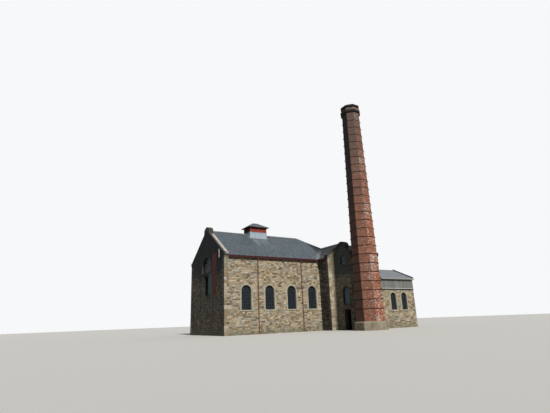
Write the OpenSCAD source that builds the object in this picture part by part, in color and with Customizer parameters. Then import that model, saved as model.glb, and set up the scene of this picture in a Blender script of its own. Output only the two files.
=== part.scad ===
// Colliery winding engine house: a stone hall with a coped left gable and a hipped
// right end, a cross wing and a tall gabled bay in front of it, a lower range on the
// right, a louvred ridge ventilator and an octagonal brick chimney with iron bands.
// In plan X runs along the front wall from the left gable, Y runs to the back, and the
// front left corner of the hall is the zero of every plan size below.

/* [Hall] */
// Length of the hall over its end walls
hall_length = 21860; // [21200:20:23000]
// Depth of the hall over its long walls
hall_depth = 12260; // [11600:20:12800]
// Height of the outer top edge of every main wall
eaves_height = 10080; // [9700:10:10600]
// Thickness of the stone walls
wall_thickness = 600; // [500:10:700]
// Top of the raised floor inside the hall
floor_level = 2200; // [1900:10:2600]
// Thickness of the raised floor
floor_thickness = 300; // [200:10:400]

/* [Roof] */
// Pitch of the hall and wing roof, in degrees
roof_pitch = 35; // [32:0.5:37]
// Thickness of the roof from rafter to slate
roof_thickness = 180; // [140:5:220]
// Overhang of the roof past the walls
eaves_overhang = 150; // [100:5:200]
// Radius of the ridge and hip rolls
ridge_roll = 110; // [80:5:140]
// Width of the lead on each side of the valley
valley_width = 320; // [200:10:420]
// Thickness of the lead sheets
lead_thickness = 12; // [8:1:20]

/* [Cross wing] */
// Width of the cross wing, measured along the front
wing_width = 6480; // [6200:20:6900]
// Distance that the wing stands in front of the hall
wing_projection = 2220; // [2000:20:2600]

/* [Tall bay] */
// Step from the left side of the wing to the left side of the bay
bay_inset = 1220; // [1100:10:1400]
// Distance that the bay stands in front of the wing
bay_projection = 3640; // [3500:20:3900]
// Pitch of the bay roof, in degrees
bay_pitch = 38; // [35:0.5:40]

/* [Gables] */
// Rise of a gable wall above the slates
parapet_rise = 50; // [30:5:90]
// Thickness of the coping stones
coping_thickness = 150; // [110:5:190]
// Overhang of the coping past the faces of its wall
coping_overhang = 50; // [30:5:70]
// Length of a kneeler stone along its gable
kneeler_length = 540; // [450:10:620]
// Distance that a kneeler stands past the corner of its wall
kneeler_projection = 130; // [80:5:180]
// Height of a kneeler stone
kneeler_height = 560; // [480:10:640]
// Height of the sloped underside of a kneeler stone
kneeler_corbel = 190; // [120:10:260]
// Rise of a kneeler stone above the foot of its coping
kneeler_rise = 95; // [60:5:130]
// Width of the rounded head on the hall gable
hall_head_width = 1900; // [1600:20:2200]
// Width of the rounded head on the bay gables
bay_head_width = 1900; // [1500:20:2100]
// Rise of each rounded head above the point of its coping
head_rise = 320; // [260:10:400]
// Height of the shoulders of a rounded head, below that point
head_shoulder = 160; // [120:10:220]

/* [Windows] */
// Width of the main arched windows
window_width = 1430; // [1300:10:1550]
// Height of the main window sills
window_sill = 3080; // [2950:10:3200]
// Height of the main window springing line
window_spring = 5555; // [5300:10:5800]
// Distance between the main windows
window_pitch = 3570; // [3450:10:3620]
// Distance from the left gable to the first window
window_first = 3170; // [2900:10:3300]
// Width of the dressed stones round each window
surround_width = 210; // [160:5:260]
// Distance that the dressed stones stand out of the wall
surround_projection = 35; // [20:5:60]
// Height of each sill stone
sill_height = 170; // [130:5:220]
// Distance that the sills stand out of the wall
sill_projection = 90; // [65:5:120]
// Depth of the windows behind the face of the wall
window_reveal = 180; // [120:5:230]
// Width of a window frame, seen from the front
frame_width = 75; // [50:5:100]
// Depth of a window frame, from front to back
frame_depth = 90; // [60:5:120]
// Thickness of the glass
glass_thickness = 12; // [8:1:20]

/* [Gable openings] */
// Width of the large arched light in the hall gable
great_light_width = 3300; // [3000:20:3500]
// Sill height of the large arched light
great_light_sill = 8500; // [8450:10:8700]
// Springing height of the large arched light
great_light_spring = 9000; // [8900:10:9150]
// Width of the rope opening in the hall gable
rope_width = 1600; // [1400:10:1700]
// Lowest level of the rope opening
rope_low = 5200; // [4900:10:5600]
// Highest level of the rope opening
rope_high = 8150; // [7900:10:8200]
// Width of the timber lining of the rope opening
lining_width = 160; // [120:5:200]
// Width of the plated slot beside the rope opening
plate_width = 1400; // [1250:10:1500]
// Distance from the front corner to the middle of the plated slot
plate_middle = 3250; // [3100:10:3350]
// Lowest level of the plated slot
plate_low = 5200; // [4900:10:5600]
// Highest level of the plated slot
plate_high = 10900; // [10500:10:11100]
// Thickness of the steel plates
plate_thickness = 20; // [12:1:30]
// Diameter of the short pipe on the gable
vent_diameter = 130; // [110:5:150]
// Space between that pipe and the wall
vent_standoff = 40; // [30:5:60]
// Distance of the lower end of that pipe below the eaves
vent_drop = 80; // [0:10:250]
// Length of that pipe
vent_length = 1150; // [1000:10:1200]
// Distance from the front corner to that pipe
vent_place = 1450; // [1400:10:1600]

/* [Bay openings] */
// Width of the lower window and of the doorway of the bay
bay_window_width = 1240; // [1100:10:1300]
// Distance that they stand in front of the middle of the bay
bay_window_shift = 260; // [200:10:320]
// Sill height of the lower bay window
bay_window_sill = 3400; // [3350:10:3600]
// Springing height of the lower bay window
bay_window_spring = 5230; // [5000:10:5400]
// Width of the upper bay windows
upper_window_width = 900; // [800:10:1000]
// Sill height of the upper bay windows
upper_window_sill = 8950; // [8850:10:9050]
// Springing height of the upper bay windows
upper_window_spring = 9950; // [9850:10:10000]
// Height of the doorways
door_height = 2750; // [2500:10:2800]
// Height of the lintel stone over a doorway
lintel_height = 260; // [200:10:300]

/* [Rainwater] */
// Width of the gutters
gutter_width = 130; // [110:5:150]
// Depth of the gutters
gutter_depth = 120; // [100:5:140]
// Thickness of the gutter iron
gutter_iron = 12; // [8:1:16]
// Thickness of the fascia board behind the gutters
fascia_thickness = 30; // [22:1:40]
// Distance that the fascia hangs below the roof edge
fascia_drop = 110; // [80:5:130]
// Diameter of the downpipes
downpipe_diameter = 120; // [100:5:140]
// Space between a downpipe and the wall
downpipe_standoff = 45; // [40:5:70]
// Thickness of the sockets at the bends of a downpipe
socket_thickness = 12; // [8:1:18]
// Number of clips on a downpipe
clip_count = 4; // [3:1:6]
// Height of a clip
clip_height = 40; // [30:5:60]
// Distance that a clip stands past its pipe on each side
clip_margin = 30; // [20:5:50]

/* [Ventilator] */
// Distance from the left gable to the middle of the ventilator
cupola_middle = 8050; // [7500:10:8500]
// Length of the ventilator along the ridge
cupola_length = 2900; // [2600:20:3100]
// Depth of the ventilator across the ridge
cupola_depth = 2060; // [1900:20:2200]
// Thickness of the boarded sides
cupola_board = 60; // [45:5:80]
// Height of the boarded sides above the ridge line of the slates
cupola_base_rise = 250; // [180:10:320]
// Height of the louvred band
louvre_height = 900; // [850:10:1000]
// Width of the corner posts
louvre_post = 110; // [90:5:130]
// Number of louvre blades in each side
louvre_count = 6; // [4:1:7]
// Thickness of a louvre blade
louvre_blade = 18; // [12:1:24]
// Width of a louvre blade
louvre_width = 150; // [130:5:160]
// Slope of the louvre blades, in degrees
louvre_angle = 45; // [35:1:50]
// Overhang of the ventilator roof
cupola_overhang = 350; // [280:10:420]
// Pitch of the ventilator roof, in degrees
cupola_pitch = 31; // [28:0.5:34]
// Thickness of the ventilator roof
cupola_roof_thickness = 80; // [60:5:110]

/* [Range] */
// Length of the low range
range_length = 6740; // [6500:20:7200]
// Depth of the low range
range_depth = 6960; // [6800:20:7100]
// Thickness of the walls of the range
range_wall = 500; // [420:10:560]
// Height of the stone part of its long walls
range_stone_height = 5500; // [5400:10:5650]
// Height of its eaves
range_eaves = 7050; // [6900:10:7150]
// Pitch of its roof, in degrees
range_pitch = 24; // [20:0.5:25]
// Thickness of its roof
range_roof_thickness = 120; // [90:5:150]
// Overhang of its roof at the eaves
range_overhang = 220; // [200:5:260]
// Overhang of its roof at the end gable
verge_overhang = 80; // [50:5:120]
// Distance that the sheet cladding stands in front of the stone
cladding_projection = 60; // [40:5:80]
// Depth of the stone top that carries the cladding
cladding_seat = 125; // [90:5:180]
// Height of one cladding rib
rib_depth = 40; // [25:5:50]
// Width of a cladding rib at its front
rib_front = 50; // [40:2:70]
// Width of a cladding rib at its foot
rib_foot = 104; // [80:2:130]
// Distance between cladding ribs
rib_pitch = 210; // [180:5:260]
// Height of the drip strip under the cladding
drip_height = 90; // [60:5:120]
// Distance that the drip strip stands in front of the stone
drip_projection = 140; // [132:2:180]
// Width of the windows of the range
range_window_width = 1100; // [1000:10:1200]
// Distance of each window from the middle of the range
range_window_offset = 1120; // [1050:10:1300]
// Sill height of the range windows
range_window_sill = 2500; // [2400:10:2700]
// Springing height of the range windows
range_window_spring = 4400; // [4200:10:4450]

/* [Chimney] */
// Distance from the left side of the bay to the middle of the chimney
chimney_offset = 580; // [300:10:800]
// Height of the chimney
chimney_height = 32200; // [31000:50:34000]
// Distance from the middle to a flat of the shaft at the ground
shaft_foot = 1840; // [1780:5:1880]
// Distance from the middle to a flat of the shaft at its top
shaft_top = 1220; // [1160:5:1280]
// Distance from the middle to a flat of the plinth
plinth_flat = 2080; // [2000:5:2150]
// Height of the plinth
plinth_height = 1100; // [900:10:1300]
// Height of the sloped top of the plinth
plinth_weathering = 160; // [120:10:200]
// Radius of the flue at the top of the shaft
flue_radius = 700; // [620:5:760]
// Widening of the flue at each lift below the top one
flue_step = 120; // [90:5:130]
// Number of iron bands
band_count = 24; // [20:1:26]
// Height of an iron band
band_height = 110; // [80:5:130]
// Thickness of an iron band
band_thickness = 16; // [10:1:24]
// Height of the lowest band
band_first = 2600; // [2300:10:2900]
// Height of the moulded head
head_height = 1300; // [1220:10:1600]
// Height of the lower string of the head
string_height = 300; // [240:10:340]
// Height of the top ring of the head
crown_height = 290; // [220:10:340]
// Height of the sloped courses over and under them
corbel_height = 90; // [70:5:110]
// Distance that the lower string of the head stands out of the shaft
string_projection = 200; // [150:5:220]
// Distance that the top ring of the head stands out of the shaft
crown_projection = 115; // [60:5:130]

/* [Hidden] */

// Clearance round each piece that is set into an opening
fit = 0.3;
// Facets of an arch, of a pipe and of the flue
arch_sides = 64;
pipe_sides = 32;
flue_sides = 64;
// Turn that brings a flat of an octagon to the front, and its corner radius for a
// distance of one from the middle to a flat
octagon_turn = 180 / 8;
octagon = 1 / cos(octagon_turn);
// Length that is longer than any piece, for planes and cuts
far = 60000;
// Turns that face a profile to the front, the back, the left and the right
FRONT = 0;
REAR = 180;
LEFT = -90;
RIGHT = 90;

// Plan places of the wing, the bay and the range
wing_left = hall_length - wing_width;
wing_half = wing_width / 2;
wing_front = -wing_projection;
bay_left = wing_left + bay_inset;
bay_front = wing_front - bay_projection;
bay_middle = bay_front + bay_projection / 2;
bay_centre_x = (bay_left + hall_length) / 2;
range_right = hall_length + range_length;
range_rear = bay_front + range_depth;
range_middle_x = hall_length + range_length / 2;
chimney_x = bay_left + chimney_offset;
chimney_y = bay_front - plinth_flat;

// Heights that follow from the pitches
slope = tan(roof_pitch);
bay_slope = tan(bay_pitch);
range_slope = tan(range_pitch);
slab_rise = roof_thickness / cos(roof_pitch);
bay_slab_rise = roof_thickness / cos(bay_pitch);
slate_foot = eaves_height + slab_rise;
slate_ridge = slate_foot + slope * hall_depth / 2;
roof_ceiling = 2 * slate_ridge;
hip_start = hall_length - hall_depth / 2;
wing_ridge_x = hall_length - wing_half;
wing_inner = wing_front + wall_thickness;
gable_foot = slate_foot + parapet_rise;
bay_gable_foot = eaves_height + bay_slab_rise + parapet_rise;
coping_rise = coping_thickness / cos(roof_pitch);

// Ventilator levels
cupola_sill = slate_ridge + cupola_base_rise;
cupola_plate = cupola_sill + louvre_height;
cupola_inset = cupola_roof_thickness / sin(cupola_pitch);
cupola_eaves = cupola_plate - (cupola_overhang - cupola_inset) * tan(cupola_pitch);
cupola_front = (hall_depth - cupola_depth) / 2;
cupola_left = cupola_middle - cupola_length / 2;

// Places along their walls of the windows and of the downpipes
front_last = wing_left - window_width / 2 - 2 * surround_width;
rear_last = hall_length - 2 * window_width;
front_windows = [for (x = [window_first : window_pitch : front_last]) x];
rear_windows = [for (x = [window_first : window_pitch : rear_last]) x];
end_windows = [for (i = [1, 2]) range_rear + window_pitch * i];
range_windows = [for (i = [-1, 1]) range_middle_x + i * range_window_offset];
downpipe_x = [for (i = [0, 2]) window_first + window_pitch * (i + 0.5)];
bay_window_y = bay_middle - bay_window_shift;

// Round-headed openings, each as x, y and z of its sill, the side it faces, its width
// and the height of its springing line over the sill
main_rise = window_spring - window_sill;
bay_rise = bay_window_spring - bay_window_sill;
upper_rise = upper_window_spring - upper_window_sill;
great_rise = great_light_spring - great_light_sill;
range_rise = range_window_spring - range_window_sill;
front_lights = [
    for (x = front_windows) [x, 0, window_sill, FRONT, window_width, main_rise]
];
rear_lights = [
    for (x = rear_windows) [x, hall_depth, window_sill, REAR, window_width, main_rise]
];
end_lights = [
    for (y = end_windows) [hall_length, y, window_sill, RIGHT, window_width, main_rise]
];
gable_lights = [
    [0, hall_depth / 2, great_light_sill, LEFT, great_light_width, great_rise]
];
bay_left_lights = [
    [bay_left, bay_window_y, bay_window_sill, LEFT, bay_window_width, bay_rise],
    [bay_left, bay_middle, upper_window_sill, LEFT, upper_window_width, upper_rise]
];
bay_right_lights = [
    [hall_length, bay_middle, upper_window_sill, RIGHT, upper_window_width, upper_rise]
];
bay_front_lights = [
    [bay_centre_x, bay_front, window_sill, FRONT, window_width, main_rise]
];
range_front_lights = [
    for (x = range_windows)
        [x, bay_front, range_window_sill, FRONT, range_window_width, range_rise]
];
range_rear_lights = [
    for (x = range_windows)
        [x, range_rear, range_window_sill, REAR, range_window_width, range_rise]
];
all_lights = concat(
    front_lights, rear_lights, end_lights, gable_lights, bay_left_lights,
    bay_right_lights, bay_front_lights, range_front_lights, range_rear_lights
);

// Chimney levels
shaft_height = chimney_height - head_height;
band_step = (shaft_height - band_first - 2 * band_height) / band_count;

// Distance from the walls to the middle of the gutters
gutter_middle = eaves_overhang + fascia_thickness + gutter_width / 2;

// The origin stands under the middle of the whole plan
plan_left = -(vent_standoff + vent_diameter);
plan_right = range_right + verge_overhang;
plan_front = chimney_y - plinth_flat;
outlet_half = max(gutter_width / 2, downpipe_diameter / 2 + socket_thickness);
plan_rear = hall_depth + gutter_middle + outlet_half;

// Moves the plan to the origin
module site() {
    translate([-(plan_left + plan_right) / 2, -(plan_front + plan_rear) / 2, 0])
        children();
}

// Stands a profile upright on the face of a wall, growing outwards
module on_face(x, y, z, side) {
    translate([x, y, z])
        rotate([90, 0, side])
            children();
}

// Outline of a round-headed opening with its sill on zero
module arch_profile(width, spring) {
    translate([-width / 2, 0])
        square([width, spring]);
    translate([0, spring])
        intersection() {
            circle(d = width, $fn = arch_sides);
            translate([-width / 2, 0])
                square(width);
        }
}

// Cut for a round-headed opening, on both sides of the face it starts from
module arch_cut(width, spring) {
    translate([0, 0, -2 * wall_thickness])
        linear_extrude(height = 4 * wall_thickness)
            arch_profile(width, spring);
}

// Cuts for a list of round-headed openings
module cut_lights(lights) {
    for (o = lights)
        on_face(o[0], o[1], o[2], o[3])
            arch_cut(o[4], o[5]);
}

// Dressed stones and sill round an opening, fixed to the face of its wall
module arch_surround(width, spring) {
    linear_extrude(height = surround_projection)
        difference() {
            arch_profile(width + 2 * surround_width, spring);
            arch_profile(width, spring);
        }
    translate([-width / 2 - surround_width, -sill_height, 0])
        cube([width + 2 * surround_width, sill_height, sill_projection]);
}

// Frame of a round-headed window, set behind the face of its wall
module arch_frame(width, spring) {
    translate([0, fit, -window_reveal - frame_depth])
        linear_extrude(height = frame_depth)
            difference() {
                arch_profile(width - 2 * fit, spring - fit);
                translate([0, frame_width])
                    arch_profile(width - 2 * fit - 2 * frame_width, spring - fit - frame_width);
            }
}

// Pane inside such a frame
module arch_glass(width, spring) {
    pane_foot = 2 * fit + frame_width;
    translate([0, pane_foot, -window_reveal - (frame_depth + glass_thickness) / 2])
        linear_extrude(height = glass_thickness)
            arch_profile(width - 4 * fit - 2 * frame_width, spring - pane_foot);
}

// Everything above a plane that rises from a foot line at the given turn
module above_plane(x, y, z, turn, pitch) {
    translate([x, y, z])
        rotate([0, 0, turn])
            rotate([pitch, 0, 0])
                translate([-far, -far, 0])
                    cube([2 * far, 2 * far, far]);
}

// Sheet of the given thickness that lies on such a plane, cut to a plan outline
module pitched_slab(x, y, z, turn, pitch, thickness, plan) {
    intersection() {
        translate([x, y, z])
            rotate([0, 0, turn])
                rotate([pitch, 0, 0])
                    translate([-far, -far, 0])
                        cube([2 * far, 2 * far, thickness]);
        linear_extrude(height = roof_ceiling)
            polygon(plan);
    }
}

// The undersides of the four main roof slopes, as cuts for what stands below them
module above_front_slope() {
    above_plane(0, 0, eaves_height, FRONT, roof_pitch);
}

module above_rear_slope() {
    above_plane(0, hall_depth, eaves_height, REAR, roof_pitch);
}

module above_hip_slope() {
    above_plane(hall_length, 0, eaves_height, RIGHT, roof_pitch);
}

module above_wing_slope() {
    above_plane(wing_left, 0, eaves_height, LEFT, roof_pitch);
}

// Outline of a gable wall from corner to corner, with its rake over the slates
module gable_outline(span, foot, rake) {
    polygon([
        [0, 0], [span, 0], [span, foot],
        [span / 2, foot + rake * span / 2], [0, foot]
    ]);
}

// Rounded head on the point of a coping, from its shoulders up
module head_outline(width, spring) {
    crown = head_shoulder + head_rise;
    radius = (pow(width / 2, 2) + pow(crown, 2)) / (2 * crown);
    intersection() {
        translate([0, spring + crown - radius])
            circle(r = radius, $fn = 2 * arch_sides);
        translate([-width / 2, spring - width])
            square([width, 2 * width]);
    }
}

// Coping of a gable, drawn over the outline of its wall. kneelers holds 1 for each
// end that has a kneeler stone, and 0 for each end that dies into another wall.
module coping_outline(span, foot, rake, head_width, kneelers) {
    rise = coping_rise;
    top = foot + rake * span / 2;
    difference() {
        union() {
            polygon([
                [0, foot], [span / 2, top], [span, foot],
                [span, foot + rise], [span / 2, top + rise], [0, foot + rise]
            ]);
            if (head_width > 0)
                translate([span / 2, 0])
                    head_outline(head_width, top + rise - head_shoulder);
            if (kneelers[0] > 0)
                translate([-kneeler_projection, foot + rise])
                    kneeler_outline();
            if (kneelers[1] > 0)
                translate([span + kneeler_projection, foot + rise])
                    mirror([1, 0])
                        kneeler_outline();
        }
        gable_outline(span, foot, rake);
    }
}

// Kneeler stone at the foot of a coping, its top a little over the foot of the rake
// and its outer part corbelled out of the wall
module kneeler_outline() {
    inner = kneeler_projection + kneeler_length;
    bottom = kneeler_rise - kneeler_height;
    polygon([
        [0, kneeler_rise], [0, bottom + kneeler_corbel], [kneeler_projection, bottom],
        [inner, bottom], [inner, kneeler_rise]
    ]);
}

// Stone walls of the hall
module long_wall(length) {
    cube([length, wall_thickness, slate_ridge]);
}

module front_wall() {
    site() color("tan") difference() {
        translate([wall_thickness, 0, 0])
            long_wall(wing_left);
        above_front_slope();
        cut_lights(front_lights);
    }
}

module rear_wall() {
    site() color("tan") difference() {
        translate([wall_thickness, hall_depth - wall_thickness, 0])
            long_wall(hall_length - 2 * wall_thickness);
        above_rear_slope();
        cut_lights(rear_lights);
    }
}

module rope_gable() {
    site() color("tan") difference() {
        rotate([90, 0, 90])
            linear_extrude(height = wall_thickness)
                gable_outline(hall_depth, gable_foot, slope);
        cut_lights(gable_lights);
        translate([-wall_thickness, (hall_depth - rope_width) / 2, rope_low])
            cube([3 * wall_thickness, rope_width, rope_high - rope_low]);
        translate([-wall_thickness, plate_middle - plate_width / 2, plate_low])
            cube([3 * wall_thickness, plate_width, plate_high - plate_low]);
    }
}

module end_wall() {
    site() color("tan") difference() {
        translate([hall_length - wall_thickness, wing_inner, 0])
            cube([wall_thickness, hall_depth - wing_inner, slate_ridge]);
        above_hip_slope();
        above_rear_slope();
        cut_lights(end_lights);
    }
}

module hall_gable_coping() {
    site() color("wheat")
        translate([-coping_overhang, 0, 0])
            rotate([90, 0, 90])
                linear_extrude(height = wall_thickness + coping_overhang)
                    coping_outline(hall_depth, gable_foot, slope, hall_head_width, [1, 1]);
}

// Raised floor between the walls of the hall
module engine_floor() {
    site() color("gray")
        translate([wall_thickness, wall_thickness, floor_level - floor_thickness])
            cube([
                hall_length - 2 * wall_thickness,
                hall_depth - 2 * wall_thickness,
                floor_thickness
            ]);
}

// Opening in the ridge under the ventilator
module cupola_well() {
    translate([cupola_left + cupola_board, cupola_front + cupola_board, 0])
        cube([cupola_length - 2 * cupola_board, cupola_depth - 2 * cupola_board, far]);
}

// Slated slopes of the hall and of the wing
module front_slope() {
    site() color("slategray") difference() {
        pitched_slab(0, 0, eaves_height, FRONT, roof_pitch, roof_thickness, [
            [wall_thickness, -eaves_overhang],
            [wing_left - eaves_overhang, -eaves_overhang],
            [wing_ridge_x, wing_half],
            [hip_start, hall_depth / 2],
            [wall_thickness, hall_depth / 2]
        ]);
        cupola_well();
    }
}

module rear_slope() {
    site() color("slategray") difference() {
        pitched_slab(0, hall_depth, eaves_height, REAR, roof_pitch, roof_thickness, [
            [wall_thickness, hall_depth / 2],
            [hip_start, hall_depth / 2],
            [hall_length + eaves_overhang, hall_depth + eaves_overhang],
            [wall_thickness, hall_depth + eaves_overhang]
        ]);
        cupola_well();
    }
}

module hip_slope() {
    site() color("slategray")
        pitched_slab(hall_length, 0, eaves_height, RIGHT, roof_pitch, roof_thickness, [
            [hall_length + eaves_overhang, wing_inner],
            [hall_length + eaves_overhang, hall_depth + eaves_overhang],
            [hip_start, hall_depth / 2],
            [wing_ridge_x, wing_half],
            [wing_ridge_x, wing_inner]
        ]);
}

module wing_slope() {
    site() color("slategray")
        pitched_slab(wing_left, 0, eaves_height, LEFT, roof_pitch, roof_thickness, [
            [wing_left - eaves_overhang, wing_inner],
            [wing_ridge_x, wing_inner],
            [wing_ridge_x, wing_half],
            [wing_left - eaves_overhang, -eaves_overhang]
        ]);
}

// Round bar from one point to another
module bar(start, end, radius) {
    run = end - start;
    length = norm(run);
    translate(start)
        rotate([0, acos(run[2] / length), atan2(run[1], run[0])])
            cylinder(r = radius, h = length, $fn = pipe_sides);
}

// Roll along a ridge or hip, from one point of the slates to another
module roll(start, end) {
    bar(start, end, ridge_roll);
}

// Saddle over the point where rolls meet
module roll_saddle(place) {
    translate(place)
        sphere(r = ridge_roll + lead_thickness, $fn = pipe_sides);
}

module ridge_rolls() {
    hip_top = [hip_start, hall_depth / 2, slate_ridge];
    wing_top = [wing_ridge_x, wing_half, slate_foot + slope * wing_half];
    rear_foot = [
        hall_length + eaves_overhang,
        hall_depth + eaves_overhang,
        slate_foot - slope * eaves_overhang
    ];
    site() color("dimgray") difference() {
        union() {
            roll([wall_thickness, hall_depth / 2, slate_ridge],
                 [cupola_left, hall_depth / 2, slate_ridge]);
            roll([cupola_left + cupola_length, hall_depth / 2, slate_ridge], hip_top);
            roll(hip_top, rear_foot);
            roll(hip_top, wing_top);
            roll([wing_ridge_x, wing_inner, wing_top[2]], wing_top);
            roll_saddle(hip_top);
            roll_saddle(wing_top);
        }
        slated_body();
        translate([hall_length + eaves_overhang, -far / 2, 0])
            cube([far, far, far]);
        translate([-far / 2, hall_depth + eaves_overhang, 0])
            cube([far, far, far]);
    }
}

// All that lies below the slates of the hall and of the wing
module slated_body() {
    difference() {
        translate([0, wing_front, 0])
            cube([
                hall_length + 2 * eaves_overhang,
                hall_depth - wing_front + 2 * eaves_overhang,
                slate_ridge + ridge_roll
            ]);
        above_plane(0, hall_depth, slate_foot, REAR, roof_pitch);
        above_plane(hall_length, 0, slate_foot, RIGHT, roof_pitch);
        intersection() {
            above_plane(0, 0, slate_foot, FRONT, roof_pitch);
            above_plane(wing_left, 0, slate_foot, LEFT, roof_pitch);
        }
    }
}

// Lead in the valley between the hall and the wing
module valley_lead() {
    near = [wing_left - eaves_overhang, -eaves_overhang];
    reach = valley_width * sqrt(2);
    top = [wing_ridge_x - reach / 2, wing_half - reach / 2];
    site() color("lightgray") {
        pitched_slab(0, 0, slate_foot, FRONT, roof_pitch, lead_thickness,
            [near, top, top + [-reach, 0], near + [-reach, 0]]);
        pitched_slab(wing_left, 0, slate_foot, LEFT, roof_pitch, lead_thickness,
            [near, near + [0, -reach], top + [0, -reach], top]);
    }
}

// Section of a gutter on its fascia board. Zero is the lower edge of the roof,
// and the section grows outwards from it.
module gutter_section(rise) {
    translate([0, -fascia_drop])
        square([fascia_thickness, fascia_drop + rise]);
    translate([fascia_thickness, -fascia_drop])
        difference() {
            square([gutter_width, gutter_depth]);
            translate([gutter_iron, gutter_iron])
                square([gutter_width - 2 * gutter_iron, gutter_depth]);
        }
}

// Gutter on the side that it faces, running anticlockwise round the building
module gutter_run(x, y, z, side, length, rise) {
    translate([x, y, z])
        rotate([90, 0, side - 90])
            translate([0, 0, -length])
                linear_extrude(height = length)
                    gutter_section(rise);
}

module gutters() {
    lip = eaves_overhang;
    edge = eaves_height - slope * lip;
    outer = fascia_thickness + gutter_width;
    front_run = wing_left - lip - outer - wall_thickness;
    side_run = hall_depth + lip + outer - wing_inner;
    rear_run = hall_length + lip - wall_thickness;
    bay_inner = bay_left + wall_thickness;
    bay_run = hall_length - wall_thickness - bay_inner;
    site() color("maroon") {
        gutter_run(wall_thickness, -lip, edge, FRONT, front_run, slab_rise);
        gutter_run(wing_left - lip, -lip, edge, LEFT, -lip - wing_inner, slab_rise);
        gutter_run(hall_length + lip, wing_inner, edge, RIGHT, side_run, slab_rise);
        gutter_run(hall_length + lip, hall_depth + lip, edge, REAR, rear_run, slab_rise);
        gutter_run(bay_inner, bay_front - lip, eaves_height - bay_slope * lip, FRONT,
                   bay_run, bay_slab_rise);
    }
}

// Downpipe on a wall, from the gutter above down to the ground, with its clips
module downpipe() {
    radius = downpipe_diameter / 2;
    pipe_out = downpipe_standoff + radius;
    outlet = eaves_height - slope * eaves_overhang - fascia_drop;
    upper = [0, -gutter_middle, outlet - downpipe_diameter];
    lower = [0, -pipe_out, upper[2] - gutter_middle + pipe_out];
    bar([0, -gutter_middle, outlet], upper, radius);
    bar(upper, lower, radius);
    bar(lower, [0, -pipe_out, 0], radius);
    for (bend = [upper, lower])
        translate(bend)
            sphere(r = radius + socket_thickness, $fn = pipe_sides);
    for (i = [1 : clip_count])
        translate([0, -pipe_out, i * lower[2] / (clip_count + 1)])
            pipe_clip(radius, pipe_out);
}

// Clip that holds a pipe of the given radius off its wall
module pipe_clip(radius, reach) {
    width = 2 * (radius + clip_margin);
    translate([-width / 2, 0, 0])
        cube([width, reach, clip_height]);
}

module downpipes() {
    site() color("sienna") {
        for (x = downpipe_x) {
            translate([x, 0, 0])
                downpipe();
            translate([x, hall_depth, 0])
                rotate([0, 0, REAR])
                    downpipe();
        }
        translate([hall_length, (end_windows[0] + end_windows[1]) / 2, 0])
            rotate([0, 0, RIGHT])
                downpipe();
    }
}

// Walls and coping of the cross wing
module wing_side_wall() {
    site() color("tan") difference() {
        translate([wing_left, wing_inner, 0])
            cube([wall_thickness, -wing_inner, slate_ridge]);
        above_wing_slope();
    }
}

module wing_gable() {
    site() color("tan") difference() {
        translate([wing_left, wing_inner, 0])
            rotate([90, 0, 0])
                linear_extrude(height = wall_thickness)
                    gable_outline(wing_width, gable_foot, slope);
        translate([bay_centre_x - bay_window_width / 2, wing_front - wall_thickness, 0])
            cube([bay_window_width, 3 * wall_thickness, door_height]);
    }
}

module wing_coping() {
    site() color("wheat") difference() {
        translate([wing_left, wing_inner, 0])
            rotate([90, 0, 0])
                linear_extrude(height = wall_thickness + coping_overhang)
                    coping_outline(wing_width, gable_foot, slope, 0, [1, 0]);
        translate([bay_left - coping_overhang, wing_front - far, 0])
            cube([far, far, far]);
    }
}

// Walls, copings and roof of the tall bay
module bay_gable_outline() {
    gable_outline(bay_projection, bay_gable_foot, bay_slope);
}

module bay_left_gable() {
    site() color("tan") difference() {
        translate([bay_left, bay_front, 0])
            rotate([90, 0, 90])
                linear_extrude(height = wall_thickness)
                    bay_gable_outline();
        cut_lights(bay_left_lights);
        translate([bay_left - wall_thickness, bay_window_y - bay_window_width / 2, 0])
            cube([3 * wall_thickness, bay_window_width, door_height]);
    }
}

module bay_right_gable() {
    site() color("tan") difference() {
        translate([hall_length - wall_thickness, bay_front, 0])
            rotate([90, 0, 90])
                linear_extrude(height = wall_thickness)
                    bay_gable_outline();
        cut_lights(bay_right_lights);
    }
}

module bay_front_wall() {
    site() color("tan") difference() {
        translate([bay_left + wall_thickness, bay_front, 0])
            cube([hall_length - bay_left - 2 * wall_thickness, wall_thickness, slate_ridge]);
        above_plane(0, bay_front, eaves_height, FRONT, bay_pitch);
        cut_lights(bay_front_lights);
    }
}

module bay_copings() {
    thickness = wall_thickness + coping_overhang;
    site() color("wheat")
        for (x = [bay_left - coping_overhang, hall_length - wall_thickness])
            translate([x, bay_front, 0])
                rotate([90, 0, 90])
                    linear_extrude(height = thickness)
                        coping_outline(bay_projection, bay_gable_foot, bay_slope,
                                       bay_head_width, [1, 0]);
}

module bay_roof() {
    left = bay_left + wall_thickness;
    right = hall_length - wall_thickness;
    site() color("slategray") {
        pitched_slab(0, bay_front, eaves_height, FRONT, bay_pitch, roof_thickness, [
            [left, bay_front - eaves_overhang], [right, bay_front - eaves_overhang],
            [right, bay_middle], [left, bay_middle]
        ]);
        pitched_slab(0, wing_front, eaves_height, REAR, bay_pitch, roof_thickness, [
            [left, bay_middle], [right, bay_middle],
            [right, wing_front], [left, wing_front]
        ]);
    }
}

module bay_ridge_roll() {
    slates = eaves_height + bay_slab_rise;
    ridge = slates + bay_slope * bay_projection / 2;
    site() color("dimgray") difference() {
        roll([bay_left + wall_thickness, bay_middle, ridge],
             [hall_length - wall_thickness, bay_middle, ridge]);
        difference() {
            translate([0, bay_front, 0])
                cube([2 * hall_length, bay_projection, ridge + ridge_roll]);
            above_plane(0, bay_front, slates, FRONT, bay_pitch);
            above_plane(0, wing_front, slates, REAR, bay_pitch);
        }
    }
}

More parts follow.
